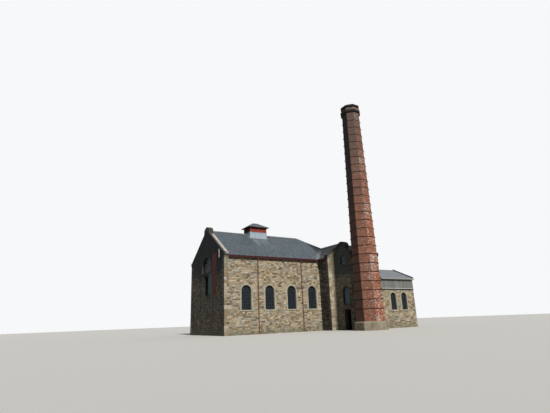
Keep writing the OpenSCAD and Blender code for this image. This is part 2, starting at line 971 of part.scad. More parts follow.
// Dressed stones, frames and panes of all the round-headed openings
module window_surrounds() {
    site() color("wheat") {
        for (o = all_lights)
            on_face(o[0], o[1], o[2], o[3])
                arch_surround(o[4], o[5]);
        on_face(bay_left, bay_window_y, door_height, LEFT)
            translate([-bay_window_width / 2 - surround_width, 0, 0])
                cube([bay_window_width + 2 * surround_width, lintel_height, surround_projection]);
    }
}

module window_frames() {
    site() color("darkslategray")
        for (o = all_lights)
            on_face(o[0], o[1], o[2], o[3])
                arch_frame(o[4], o[5]);
}

module window_glass() {
    site() color("lightblue", 0.4)
        for (o = all_lights)
            on_face(o[0], o[1], o[2], o[3])
                arch_glass(o[4], o[5]);
}

// Timber lining round the rope opening, through the whole wall
module rope_lining() {
    opening = [rope_width, rope_high - rope_low];
    site() color("cadetblue")
        on_face(0, hall_depth / 2, rope_low, LEFT)
            translate([0, 0, -wall_thickness])
                linear_extrude(height = wall_thickness)
                    difference() {
                        translate([-opening[0] / 2, 0])
                            square(opening);
                        translate([-opening[0] / 2 + lining_width, lining_width])
                            square(opening - 2 * [lining_width, lining_width]);
                    }
}

// Steel plates that close the slot beside it, with their stiffening ribs
module slot_plates() {
    height = plate_high - plate_low;
    site() color("brown")
        on_face(0, plate_middle, plate_low, LEFT)
            translate([-plate_width / 2, 0, -2 * plate_thickness]) {
                cube([plate_width, height, plate_thickness]);
                for (i = [0 : 3])
                    translate([i * (plate_width - plate_thickness) / 3, 0, 0])
                        cube([plate_thickness, height, 2 * plate_thickness]);
            }
}

// Short pale pipe on the gable, with its two clips
module gable_pipe() {
    reach = vent_standoff + vent_diameter / 2;
    site() color("silver")
        on_face(0, vent_place, eaves_height - vent_drop, LEFT)
            translate([0, 0, reach])
                rotate([-90, 0, 0]) {
                    cylinder(d = vent_diameter, h = vent_length, $fn = pipe_sides);
                    for (i = [1, 3])
                        translate([0, 0, i * vent_length / 4])
                            pipe_clip(vent_diameter / 2 - clip_margin, reach);
                }
}

// Boarded base of the ventilator, seated on the slates
module cupola_base() {
    site() color("white") difference() {
        translate([cupola_left, cupola_front, 0])
            cube([cupola_length, cupola_depth, cupola_sill]);
        cupola_well();
        slated_body();
    }
}

// Louvred band of the ventilator: posts, rails and sloped blades on all four sides
module louvre_side(length) {
    rail = louvre_post / 2;
    gap = louvre_height - 2 * rail;
    for (z = [0, louvre_height - rail])
        translate([0, 0, z])
            cube([length, louvre_post, rail]);
    for (x = [0, (length - louvre_post) / 2, length - louvre_post])
        translate([x, 0, 0])
            cube([louvre_post, louvre_post, louvre_height]);
    intersection() {
        translate([0, 0, rail])
            cube([length, louvre_post, gap]);
        for (i = [0 : louvre_count - 1])
            translate([0, 0, rail + (i + 0.5) * gap / louvre_count])
                rotate([louvre_angle, 0, 0])
                    translate([0, -louvre_blade, -louvre_blade / 2])
                        cube([length, louvre_width + louvre_blade, louvre_blade]);
    }
}

module cupola_louvres() {
    site() color("firebrick")
        translate([cupola_left, cupola_front, cupola_sill]) {
            louvre_side(cupola_length);
            translate([cupola_length, cupola_depth, 0])
                rotate([0, 0, REAR])
                    louvre_side(cupola_length);
            translate([cupola_length, 0, 0])
                rotate([0, 0, RIGHT])
                    louvre_side(cupola_depth);
            translate([0, cupola_depth, 0])
                rotate([0, 0, LEFT])
                    louvre_side(cupola_depth);
        }
}

// Solid hipped roof on a rectangle, with its eaves on zero
module hipped_solid(length, depth, pitch) {
    rise = tan(pitch) * depth / 2;
    intersection() {
        translate([0, depth, 0])
            rotate([90, 0, 0])
                linear_extrude(height = depth)
                    polygon([[0, 0], [length, 0], [length - depth / 2, rise], [depth / 2, rise]]);
        rotate([90, 0, 90])
            linear_extrude(height = length)
                polygon([[0, 0], [depth, 0], [depth / 2, rise]]);
    }
}

module cupola_roof() {
    outer = [cupola_length + 2 * cupola_overhang, cupola_depth + 2 * cupola_overhang];
    site() color("slategray")
        translate([cupola_left - cupola_overhang, cupola_front - cupola_overhang, cupola_eaves])
            difference() {
                hipped_solid(outer[0], outer[1], cupola_pitch);
                translate([cupola_inset, cupola_inset, 0])
                    hipped_solid(outer[0] - 2 * cupola_inset, outer[1] - 2 * cupola_inset,
                                 cupola_pitch);
            }
}

// Low range: stone walls, ribbed cladding over them, roof and gutters
module range_long_wall(y) {
    translate([hall_length, y, 0])
        cube([range_length - range_wall, range_wall, range_stone_height]);
}

module range_front_wall() {
    site() color("tan") difference() {
        range_long_wall(bay_front);
        cut_lights(range_front_lights);
    }
}

module range_rear_wall() {
    site() color("tan") difference() {
        range_long_wall(range_rear - range_wall);
        cut_lights(range_rear_lights);
    }
}

module range_end_wall() {
    site() color("tan")
        translate([range_right - range_wall, bay_front, 0])
            rotate([90, 0, 90])
                linear_extrude(height = range_wall)
                    gable_outline(range_depth, range_eaves, range_slope);
}

module above_range_slopes() {
    above_plane(0, bay_front, range_eaves, FRONT, range_pitch);
    above_plane(0, range_rear, range_eaves, REAR, range_pitch);
}

// Plan of a ribbed sheet: a plain back and trapezoid ribs on its front
module ribbed_sheet(length, thickness) {
    ribs = floor(length / rib_pitch) - 1;
    start = (length - ribs * rib_pitch) / 2;
    square([length, thickness]);
    for (i = [0 : ribs - 1])
        translate([start + (i + 0.5) * rib_pitch, -rib_depth])
            polygon([
                [-rib_front / 2, 0], [rib_front / 2, 0],
                [rib_foot / 2, rib_depth], [-rib_foot / 2, rib_depth]
            ]);
}

// Cladding of one long side. It stands on the front part of the stone wall, and its
// face runs on over the edge of the end wall.
module range_clad_side(end) {
    height = range_eaves + range_slope * cladding_seat - range_stone_height;
    translate([0, -cladding_projection, range_stone_height])
        linear_extrude(height = height)
            ribbed_sheet(range_length, cladding_projection);
    translate([end * range_wall, -fit, range_stone_height])
        cube([range_length - range_wall, cladding_seat + fit, height]);
    translate([0, -drip_projection, range_stone_height - drip_height / 2])
        cube([range_length, drip_projection, drip_height]);
}

module range_cladding() {
    site() color("lightgray") difference() {
        union() {
            translate([hall_length, bay_front, 0])
                range_clad_side(0);
            translate([range_right, range_rear, 0])
                rotate([0, 0, REAR])
                    range_clad_side(1);
        }
        above_range_slopes();
    }
}

module range_roof() {
    right = range_right + verge_overhang;
    middle = bay_front + range_depth / 2;
    site() color("gainsboro") {
        pitched_slab(0, bay_front, range_eaves, FRONT, range_pitch, range_roof_thickness, [
            [hall_length, bay_front - range_overhang], [right, bay_front - range_overhang],
            [right, middle], [hall_length, middle]
        ]);
        pitched_slab(0, range_rear, range_eaves, REAR, range_pitch, range_roof_thickness, [
            [hall_length, middle], [right, middle],
            [right, range_rear + range_overhang], [hall_length, range_rear + range_overhang]
        ]);
    }
}

module range_gutters() {
    edge = range_eaves - range_slope * range_overhang;
    rise = range_roof_thickness / cos(range_pitch);
    run = range_length + verge_overhang;
    site() color("gray") {
        gutter_run(hall_length, bay_front - range_overhang, edge, FRONT, run, rise);
        gutter_run(range_right + verge_overhang, range_rear + range_overhang, edge, REAR,
                   run, rise);
    }
}

// Octagonal pieces of the chimney. Sizes across them are from the middle to a flat.
module octagon_prism(flat, height) {
    rotate([0, 0, octagon_turn])
        cylinder(r = flat * octagon, h = height, $fn = 8);
}

// The same with a taper: what four crossed wedges have in common
module octagon_taper(lower, upper, height) {
    intersection_for (i = [0 : 3])
        rotate([0, 0, i * 2 * octagon_turn])
            translate([0, 2 * lower, 0])
                rotate([90, 0, 0])
                    linear_extrude(height = 4 * lower)
                        polygon([[-lower, 0], [lower, 0], [upper, height], [-upper, height]]);
}

// Flue, one step wider in each of the two lower thirds of the shaft
module flue() {
    for (i = [0 : 2])
        translate([0, 0, -far])
            cylinder(
                r = flue_radius + i * flue_step,
                h = far + (i == 0 ? far : (3 - i) * shaft_height / 3),
                $fn = flue_sides
            );
}

module chimney_plinth() {
    body = plinth_height - plinth_weathering;
    site() color("firebrick")
        translate([chimney_x, chimney_y, 0])
            difference() {
                union() {
                    octagon_prism(plinth_flat, body);
                    translate([0, 0, body])
                        octagon_taper(plinth_flat, shaft_flat(plinth_height), plinth_weathering);
                }
                flue();
            }
}

// Distance from the middle of the shaft to its flats at a height
function shaft_flat(z) = shaft_foot + (shaft_top - shaft_foot) * z / shaft_height;

module chimney_shaft() {
    site() color("chocolate")
        translate([chimney_x, chimney_y, 0])
            difference() {
                translate([0, 0, plinth_height])
                    octagon_taper(shaft_flat(plinth_height), shaft_top,
                                  shaft_height - plinth_height);
                flue();
            }
}

// Iron bands, each one a straight octagonal hoop that rests on the taper
module chimney_bands() {
    site() color("black")
        translate([chimney_x, chimney_y, 0])
            for (i = [0 : band_count - 1]) {
                z = band_first + i * band_step;
                inner = shaft_flat(z) + fit;
                translate([0, 0, z])
                    difference() {
                        octagon_prism(inner + band_thickness, band_height);
                        octagon_prism(inner, band_height);
                    }
            }
}

// Ring of the head: a straight course between two sloped ones
module head_ring(projection, height) {
    outer = shaft_top + projection;
    translate([0, 0, corbel_height])
        octagon_prism(outer, height);
    translate([0, 0, corbel_height + height])
        octagon_taper(outer, shaft_top, corbel_height);
    translate([0, 0, corbel_height])
        mirror([0, 0, 1])
            octagon_taper(outer, shaft_top, corbel_height);
}

// Moulded head: corbelled string, plain frieze and projecting crown
module chimney_head() {
    site() color("dimgray")
        translate([chimney_x, chimney_y, shaft_height])
            difference() {
                union() {
                    octagon_prism(shaft_top, head_height);
                    head_ring(string_projection, string_height);
                    translate([0, 0, head_height - crown_height - 2 * corbel_height])
                        head_ring(crown_projection, crown_height);
                }
                translate([0, 0, -shaft_height])
                    flue();
            }
}

front_wall();
rear_wall();
rope_gable();
end_wall();
hall_gable_coping();
engine_floor();
front_slope();
rear_slope();
hip_slope();
wing_slope();
ridge_rolls();
valley_lead();
gutters();
downpipes();
wing_side_wall();
wing_gable();
wing_coping();
bay_left_gable();
bay_front_wall();
bay_right_gable();
bay_copings();
bay_roof();
bay_ridge_roll();
window_surrounds();
window_frames();
window_glass();
rope_lining();
slot_plates();
gable_pipe();
cupola_base();
cupola_louvres();
cupola_roof();
range_front_wall();
range_rear_wall();
range_end_wall();
range_cladding();
range_roof();
range_gutters();
chimney_plinth();
chimney_shaft();
chimney_bands();
chimney_head();
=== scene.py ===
"""Looks of a stone winding engine house with its banded brick chimney.

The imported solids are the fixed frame. Stones, bricks, slates, boards, bars and
bolts are laid over them here at their real sizes. Plan sizes are in metres from
the front left corner of the hall, with X along the front wall and Y to the back.
"""

import logging
import math
import random
from dataclasses import dataclass, field
from enum import Enum
from typing import Callable, ClassVar, Iterable, Iterator, Sequence

import bmesh
import bpy
import numpy as np
from mathutils import Matrix, Vector


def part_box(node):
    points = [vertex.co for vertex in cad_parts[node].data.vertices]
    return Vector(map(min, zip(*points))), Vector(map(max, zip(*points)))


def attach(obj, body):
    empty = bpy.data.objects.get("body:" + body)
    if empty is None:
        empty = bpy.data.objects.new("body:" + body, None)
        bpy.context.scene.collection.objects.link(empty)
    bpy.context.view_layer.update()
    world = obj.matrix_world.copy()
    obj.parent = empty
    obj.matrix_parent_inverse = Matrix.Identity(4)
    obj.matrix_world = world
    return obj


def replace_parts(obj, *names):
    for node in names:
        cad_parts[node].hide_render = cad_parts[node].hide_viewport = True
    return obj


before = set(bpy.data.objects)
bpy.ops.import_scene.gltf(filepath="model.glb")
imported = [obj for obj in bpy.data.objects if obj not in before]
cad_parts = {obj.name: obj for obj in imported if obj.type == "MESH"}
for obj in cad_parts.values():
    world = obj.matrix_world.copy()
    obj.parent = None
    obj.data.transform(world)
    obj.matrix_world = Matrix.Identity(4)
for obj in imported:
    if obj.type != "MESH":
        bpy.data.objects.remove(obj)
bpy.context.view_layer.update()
LOG = logging.getLogger("engine_house")

Pair = tuple[float, float]
Triple = tuple[float, float, float]
Colour = tuple[float, float, float]
Socket = bpy.types.NodeSocket
Feed = Socket | float | Sequence[float]
Stops = tuple[tuple[float, Colour], ...]
Tinting = Callable[[random.Random, float, float], Triple]

TINT = "tint"
BODY = "root"
CORNER = np.array(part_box("rope_gable")[0]) * np.array([1.0, 1.0, 0.0])

HALL_RIGHT, HALL_REAR = 21.86, 12.26
WING_LEFT, WING_FRONT = 15.38, -2.22
BAY_LEFT, BAY_FRONT = 16.6, -5.86
RANGE_RIGHT, RANGE_REAR = 28.6, 1.10
EAVES, SLATE_FOOT, HALL_PITCH = 10.06, 10.2997, 35.0
BAY_SLATE_FOOT, BAY_PITCH = 10.3084, 38.0
VENT_EAVES, VENT_PITCH = 15.626, 31.0
BLANK_TINT = (0.5, 0.5, 0.0)
CROWN = 4


class Facing(float, Enum):
    """Turn, in degrees, of a face that looks to each side."""

    FRONT = 0.0
    RIGHT = 90.0
    REAR = 180.0
    LEFT = -90.0


class Blend(Enum):
    """Ways to mix two colours in a shader."""

    MIX = "MIX"
    MULTIPLY = "MULTIPLY"


# Shader helpers


class Graph:
    """Short ways to add and join the nodes of one shader tree."""

    def __init__(self, tree: bpy.types.NodeTree) -> None:
        """Keeps the tree that nodes are added to."""
        self.tree = tree

    def node(self, kind: str, inputs: dict[str | int, Feed | None] | None = None,
             **settings: object) -> bpy.types.Node:
        """Adds one node.

        Args:
            kind: Type name of the node.
            inputs: What its inputs are fed with, by name or number.
            **settings: Properties that are set on it.

        Returns:
            The new node.
        """
        made = self.tree.nodes.new(kind)
        for key, value in settings.items():
            setattr(made, key, value)
        for key, value in (inputs or {}).items():
            self.feed(value, made.inputs[key])
        return made

    def feed(self, value: Feed | None, socket: Socket) -> None:
        """Links a socket, or sets its value where it gets a plain one.

        Args:
            value: Output socket, number or colour. None leaves the socket alone.
            socket: Input socket.
        """
        if isinstance(value, bpy.types.NodeSocket):
            self.tree.links.new(value, socket)
        elif value is not None:
            if socket.type == "RGBA" and len(value) == 3:
                value = (*value, 1.0)
            socket.default_value = value

    def place(self) -> Socket:
        """Returns the object coordinates."""
        return self.node("ShaderNodeTexCoord").outputs["Object"]

    def axis(self, number: int) -> Socket:
        """Returns one of the object coordinates, X being number 0."""
        return self.split(self.place())[number]

    def tint(self) -> tuple[Socket, ...]:
        """Returns the three numbers that each laid piece carries."""
        source = self.node("ShaderNodeAttribute", attribute_name=TINT)
        return self.split(source.outputs["Vector"])

    def split(self, vector: Socket) -> tuple[Socket, ...]:
        """Returns the three parts of a vector."""
        return tuple(self.node("ShaderNodeSeparateXYZ", {0: vector}).outputs)

    def stretch(self, vector: Socket, scale: Triple) -> Socket:
        """Returns a vector that is stretched by a factor for each axis."""
        made = self.node("ShaderNodeMapping", {"Vector": vector, "Scale": scale})
        return made.outputs["Vector"]

    def noise(self, vector: Socket, scale: Feed, detail: float, roughness: float) -> Socket:
        """Adds a noise.

        Args:
            vector: Place to read.
            scale: Cells per metre.
            detail: Octaves.
            roughness: Weight of the finer octaves.

        Returns:
            Its value, from 0 to 1.
        """
        made = self.node("ShaderNodeTexNoise", {
            "Vector": vector, "Scale": scale, "Detail": detail, "Roughness": roughness})
        return made.outputs["Fac"]

    def math(self, operation: str, first: Feed, second: Feed | None = None,
             clamp: bool = False) -> Socket:
        """Adds one sum.

        Args:
            operation: Name of the operation.
            first: First value.
            second: Second value, where there is one.
            clamp: Whether the result is kept from 0 to 1.

        Returns:
            Its result.
        """
        made = self.node(
            "ShaderNodeMath", {0: first, 1: second}, operation=operation, use_clamp=clamp)
        return made.outputs[0]

    def plus(self, first: Feed, second: Feed, clamp: bool = False) -> Socket:
        """Returns the sum of two values."""
        return self.math("ADD", first, second, clamp)

    def minus(self, first: Feed, second: Feed) -> Socket:
        """Returns the difference of two values."""
        return self.math("SUBTRACT", first, second)

    def times(self, first: Feed, second: Feed, clamp: bool = False) -> Socket:
        """Returns the product of two values."""
        return self.math("MULTIPLY", first, second, clamp)

    def spread(self, value: Feed, low: float = 0.0, high: float = 1.0,
               to_low: float = 0.0, to_high: float = 1.0) -> Socket:
        """Spreads a value from one range to another and keeps it inside.

        Args:
            value: Value to spread.
            low: Where its range starts.
            high: Where it ends.
            to_low: Result at its start.
            to_high: Result at its end.

        Returns:
            The result, which eases in and out.
        """
        made = self.node("ShaderNodeMapRange", {
            "Value": value, "From Min": low, "From Max": high, "To Min": to_low,
            "To Max": to_high}, interpolation_type="SMOOTHSTEP")
        return made.outputs["Result"]

    def mix(self, factor: Feed, first: Feed, second: Feed, blend: Blend = Blend.MIX) -> Socket:
        """Mixes two colours.

        Args:
            factor: Share of the second colour.
            first: First colour.
            second: Second colour.
            blend: How they are mixed.

        Returns:
            The mixed colour.
        """
        made = self.node("ShaderNodeMix", {0: factor, 6: first, 7: second},
                         data_type="RGBA", blend_type=blend.value)
        return made.outputs[2]

    def over(self, colour: Feed, mask: Feed, share: float, other: Feed) -> Socket:
        """Returns a colour with a share of another over it where a mask is 1."""
        return self.mix(self.times(mask, share), colour, other)

    def shade(self, colour: Feed, value: Socket, dark: float, light: float) -> Socket:
        """Makes a colour darker and lighter.

        Args:
            colour: The colour.
            value: Value from 0 to 1 that says how light it is.
            dark: Factor at 0.
            light: Factor at 1.

        Returns:
            The shaded colour.
        """
        factor = self.spread(value, to_low=dark, to_high=light)
        grey = self.node("ShaderNodeCombineColor", {0: factor, 1: factor, 2: factor})
        return self.mix(1.0, colour, grey.outputs[0], Blend.MULTIPLY)

    def ramp(self, value: Feed, stops: Stops) -> Socket:
        """Picks a colour from a row of stops.

        Args:
            value: Place on the row, from 0 to 1.
            stops: Places and their colours, in order.

        Returns:
            The colour.
        """
        made = self.node("ShaderNodeValToRGB", {0: value})
        row = made.color_ramp
        for element, (place, colour) in zip(row.elements, (stops[0], stops[-1])):
            element.position, element.color = place, (*colour, 1.0)
        for place, colour in stops[1:-1]:
            row.elements.new(place).color = (*colour, 1.0)
        return made.outputs["Color"]

    def left_face_shade(self, share: float, edge: float = -0.80) -> Socket:
        """Returns a mask of the faces that look left, for painted shade, up to an edge."""
        away = self.split(self.node("ShaderNodeNewGeometry").outputs["Normal"])[0]
        return self.spread(away, -0.95, edge, share, 0.0)

    def effect(self, group: "Effect", **values: Feed) -> tuple[Socket, ...]:
        """Returns the outputs of an effect, fed by name with _ for each space."""
        inputs = {name.replace("_", " "): value for name, value in values.items()}
        return tuple(self.node("ShaderNodeGroup", inputs, node_tree=group.tree()).outputs)


class Effect:
    """A shader node group that is built once and used by several materials."""

    label: ClassVar[str] = ""
    inputs: ClassVar[dict[str, float]] = {}
    outputs: ClassVar[tuple[str, ...]] = ()

    def tree(self) -> bpy.types.NodeTree:
        """Makes the group at its first use.

        Returns:
            The group.
        """
        found = bpy.data.node_groups.get(self.label)
        if found is not None:
            return found
        made = bpy.data.node_groups.new(self.label, "ShaderNodeTree")
        for name, value in self.inputs.items():
            socket = made.interface.new_socket(
                name=name, in_out="INPUT", socket_type="NodeSocketFloat")
            socket.default_value = value
        for name in self.outputs:
            made.interface.new_socket(name=name, in_out="OUTPUT", socket_type="NodeSocketFloat")
        graph = Graph(made)
        drawn = self.draw(graph, graph.node("NodeGroupInput").outputs)
        graph.node("NodeGroupOutput", dict(zip(self.outputs, drawn)))
        return made

    def draw(self, graph: Graph, entry: Sequence[Socket]) -> tuple[Socket, ...]:
        """Adds the nodes of the effect.

        Args:
            graph: Tree of the group.
            entry: Its inputs, in order.

        Returns:
            Its outputs, in order.
        """
        raise NotImplementedError


class Mottle(Effect):
    """Large soft patches, small grains and the height that goes with them."""

    label = "mottle"
    inputs = {"Patch Scale": 1.2, "Grain Scale": 38.0}
    outputs = ("Patches", "Grains", "Height")

    def draw(self, graph: Graph, entry: Sequence[Socket]) -> tuple[Socket, ...]:
        """Adds the nodes of the effect.

        Args:
            graph: Tree of the group.
            entry: Its inputs, in order.

        Returns:
            Its outputs, in order.
        """
        place = graph.place()
        patches = graph.noise(place, entry[0], detail=5.0, roughness=0.6)
        grains = graph.noise(place, entry[1], detail=3.0, roughness=0.7)
        middle = graph.noise(place, 9.0, detail=4.0, roughness=0.6)
        height = graph.plus(graph.times(middle, 0.7), graph.times(grains, 0.3))
        return graph.spread(patches, 0.32, 0.68), graph.spread(grains, 0.3, 0.7), height


class Streaks(Effect):
    """Stains that rain has drawn down a wall or a sheet."""

    label = "streaks"
    inputs = {"Across": 3.0, "Down": 0.25, "Sparse": 0.5}
    outputs = ("Mask",)

    def draw(self, graph: Graph, entry: Sequence[Socket]) -> tuple[Socket, ...]:
        """Adds the nodes of the effect.

        Args:
            graph: Tree of the group.
            entry: Its inputs, in order.

        Returns:
            Its outputs, in order.
        """
        factors = (entry[0], entry[0], entry[1])
        parts = map(graph.times, graph.split(graph.place()), factors)
        joined = graph.node("ShaderNodeCombineXYZ", dict(enumerate(parts)))
        drawn = graph.noise(joined.outputs[0], 1.0, detail=6.0, roughness=0.62)
        return (graph.times(graph.minus(drawn, entry[2]), 6.0, clamp=True),)


class SmokeAndShade(Effect):
    """Soot that thickens upwards, and painted shade on the sides that look left."""

    label = "smoke_and_shade_mask"
    inputs = {"Low": 16.0, "High": 31.0}
    outputs = ("Mask",)

    def draw(self, graph: Graph, entry: Sequence[Socket]) -> tuple[Socket, ...]:
        """Adds the nodes of the effect.

        Args:
            graph: Tree of the group.
            entry: Its inputs, in order.

        Returns:
            Its outputs, in order.
        """
        low, high = entry[:2]
        patches = graph.noise(graph.place(), 0.5, detail=5.0, roughness=0.6)
        height = graph.minus(graph.plus(graph.axis(2), graph.times(patches, 7.0)), low)
        rise = graph.math("DIVIDE", height, graph.minus(high, low), clamp=True)
        # Painted shade on the sides that look left.
        left_shade = graph.left_face_shade(0.6, edge=-0.3)
        return (graph.plus(graph.times(rise, 0.75), left_shade, clamp=True),)


MOTTLE, STREAKS, SMOKE_AND_SHADE = Mottle(), Streaks(), SmokeAndShade()


class Coat(Graph):
    """The nodes of one material, which start from a mottling."""

    def __init__(self, material: bpy.types.Material, mottling: Pair) -> None:
        """Adds the mottling.

        Args:
            material: The material.
            mottling: Scales of its patches and grains, in cells per metre.
        """
        super().__init__(material.node_tree)
        self.shader = self.tree.nodes["Principled BSDF"]
        self.patches, self.grains, self.height = self.effect(
            MOTTLE, Patch_Scale=mottling[0], Grain_Scale=mottling[1])

    def roughen(self, value: Socket, low: float, high: float) -> None:
        """Lets the roughness go from low to high with a value from 0 to 1."""
        self.feed(self.spread(value, to_low=low, to_high=high), self.shader.inputs["Roughness"])


# Finishes


@dataclass(frozen=True)
class Finish:
    """What all finishes share: a name, a plain surface, a mottling and a relief.

    The mottling gives the scales of its patches and grains, in cells per metre. The
    relief gives the share of the bump and its depth in metres.
    """

    made: ClassVar[dict[str, bpy.types.Material]] = {}

    name: str
    roughness: float = 0.85
    gloss: float = 0.15
    mottling: Pair = (1.0, 40.0)
    relief: Pair = (0.5, 0.005)

    def material(self) -> bpy.types.Material:
        """Makes the material at its first use.

        Returns:
            The material.
        """
        if self.name in self.made:
            return self.made[self.name]
        made = bpy.data.materials.new(self.name)
        self.made[self.name] = made
        made.use_nodes = True
        coat = Coat(made, self.mottling)
        inputs = coat.shader.inputs
        inputs["Roughness"].default_value = self.roughness
        inputs["Specular IOR Level"].default_value = self.gloss
        coat.feed(self.paint(coat), inputs["Base Color"])
        bump = coat.node("ShaderNodeBump", {
            "Height": coat.height, "Strength": self.relief[0], "Distance": self.relief[1]})
        coat.feed(bump.outputs["Normal"], inputs["Normal"])
        return made

    def paint(self, coat: Coat) -> Socket:
        """Draws the surface, and its height and roughness where they are its own.

        Args:
            coat: Nodes of the material.

        Returns:
            Its colour.
        """
        raise NotImplementedError


@dataclass(frozen=True)
class RubbleFinish(Finish):
    """Buff sandstone, each stone with a tone of its own, under soot, damp and painted shade."""

    mottling: Pair = (1.3, 46.0)
    relief: Pair = (0.8, 0.012)
    shades: Stops = (
        (0.00, (0.160, 0.128, 0.092)), (0.14, (0.330, 0.236, 0.142)),
        (0.32, (0.455, 0.362, 0.230)), (0.55, (0.570, 0.490, 0.345)),
        (0.76, (0.500, 0.455, 0.355)), (0.90, (0.370, 0.345, 0.292)),
        (1.00, (0.205, 0.192, 0.168)),
    )
    rust: Colour = (0.420, 0.275, 0.155)
    soot_and_shade: Colour = (0.040, 0.037, 0.034)
    damp: Colour = (0.110, 0.115, 0.070)
    cover: float = 0.92

    def paint(self, coat: Coat) -> Socket:
        """Draws the surface.

        Args:
            coat: Nodes of the material.

        Returns:
            Its colour.
        """
        shade, bright, dirt = coat.tint()
        colour = coat.shade(coat.ramp(shade, self.shades), bright, dark=0.72, light=1.18)
        rust = coat.noise(coat.place(), 5.0, detail=5.0, roughness=0.65)
        colour = coat.mix(coat.spread(rust, 0.52, 0.72, to_high=0.45), colour, self.rust)
        colour = coat.shade(colour, coat.grains, dark=0.80, light=1.12)
        (streak,) = coat.effect(STREAKS, Across=2.2, Down=0.18, Sparse=0.54)
        stain = coat.plus(streak, coat.times(coat.patches, 0.35))
        cover = coat.plus(dirt, coat.times(stain, 0.28))
        # The cover is dirt and stains; on the walls that look left it is mostly painted shade.
        colour = coat.over(colour, cover, self.cover, self.soot_and_shade)
        low = coat.spread(coat.axis(2), 0.05, 1.4, to_low=0.5, to_high=0.0)
        return coat.mix(low, colour, self.damp)


@dataclass(frozen=True)
class MortarFinish(Finish):
    """Lime mortar and the plain faces behind the laid stones and bricks."""

    mottling: Pair = (2.1, 70.0)
    relief: Pair = (0.7, 0.01)
    colour: Colour = (0.350, 0.310, 0.240)
    deep: Colour = (0.190, 0.168, 0.135)
    black: Colour = (0.032, 0.031, 0.031)
    soot_and_shade: float = 0.0
    left_shade: float = 0.0

    def paint(self, coat: Coat) -> Socket:
        """Draws the surface.

        Args:
            coat: Nodes of the material.

        Returns:
            Its colour.
        """
        colour = coat.mix(coat.patches, self.colour, self.deep)
        colour = coat.mix(coat.spread(coat.grains, low=0.4, to_high=0.4), colour, self.deep)
        (streak,) = coat.effect(STREAKS, Across=1.8, Down=0.2, Sparse=0.5)
        # The dark coat is soot, and painted shade on the walls that look left.
        cover = coat.plus(coat.times(streak, 0.25), self.soot_and_shade, clamp=True)
        # Painted shade on the faces that look left.
        if self.left_shade > 0.0:
            cover = coat.math("MAXIMUM", cover, coat.left_face_shade(self.left_shade))
        return coat.mix(cover, colour, self.black)


@dataclass(frozen=True)
class DressedFinish(Finish):
    """Tooled freestone of copings, sills, quoins and arches.

    Each entry of soot_and_shade_spans is an axis, and the places on it where the stone
    is clean and black. The black is soot, and painted shade where a span marks a side that looks
    left.
    """

    mottling: Pair = (1.7, 60.0)
    relief: Pair = (0.6, 0.006)
    colour: Colour = (0.530, 0.482, 0.376)
    stain: Colour = (0.220, 0.208, 0.165)
    brown: Colour = (0.420, 0.335, 0.225)
    black: Colour = (0.036, 0.035, 0.034)
    variety: float = 0.42
    soot_and_shade: float = 0.0
    soot_and_shade_spans: tuple[tuple[int, float, float], ...] = ()
    soot_and_shade_share: float = 0.93
    left_shade: float = 0.0
    tooling: float = 26.0
    joint: Colour = (0.050, 0.045, 0.040)
    joint_axis: int | None = None
    joint_middle: float = 0.0
    joint_length: float = 0.74

    def joints(self, coat: Coat) -> Socket:
        """Masks the joints between the stones.

        Args:
            coat: Nodes of the material.

        Returns:
            The mask.
        """
        aside = coat.math("ABSOLUTE", coat.minus(coat.axis(self.joint_axis), self.joint_middle))
        part = coat.math("FRACT", coat.math("DIVIDE", aside, self.joint_length))
        near = coat.math("ABSOLUTE", coat.minus(part, 0.5))
        return coat.spread(near, 0.484, 0.494)

    def cover(self, coat: Coat, dirt: Socket) -> Socket:
        """Masks what is black with soot and with painted shade.

        Args:
            coat: Nodes of the material.
            dirt: Dirt of each stone.

        Returns:
            The mask.
        """
        (streak,) = coat.effect(STREAKS, Across=3.5, Down=0.3, Sparse=0.5)
        cover = coat.plus(coat.plus(dirt, self.soot_and_shade), coat.times(streak, 0.30), clamp=True)
        patches = coat.noise(coat.place(), 3.0, detail=4.0, roughness=0.6)
        wander = coat.times(coat.minus(patches, 0.5), 0.35)
        for axis, clean, black in self.soot_and_shade_spans:
            place = coat.plus(coat.axis(axis), wander)
            ends = (0.0, self.soot_and_shade_share)
            low, high, to_low, to_high = (
                (clean, black, *ends) if clean < black else (black, clean, *reversed(ends)))
            cover = coat.math("MAXIMUM", cover, coat.spread(place, low, high, to_low, to_high))
        # Painted shade on the faces that look left.
        if self.left_shade > 0.0:
            cover = coat.math("MAXIMUM", cover, coat.left_face_shade(self.left_shade))
        return cover

    def paint(self, coat: Coat) -> Socket:
        """Draws the surface with its tooling and its joints.

        Args:
            coat: Nodes of the material.

        Returns:
            Its colour.
        """
        shade, _, dirt = coat.tint()
        colour = coat.mix(coat.spread(shade, to_high=self.variety), self.colour, self.brown)
        colour = coat.over(colour, coat.patches, 0.4, self.stain)
        colour = coat.mix(self.cover(coat, dirt), colour, self.black)
        lines = coat.node("ShaderNodeTexWave", {
            "Vector": coat.place(), "Scale": self.tooling, "Distortion": 3.0,
        }, bands_direction="DIAGONAL")
        coat.height = coat.plus(coat.times(lines.outputs["Fac"], 0.25), coat.height)
        if self.joint_axis is not None:
            joints = self.joints(coat)
            colour = coat.over(colour, joints, 0.8, self.joint)
            coat.height = coat.minus(coat.height, coat.times(joints, 1.5))
        return colour


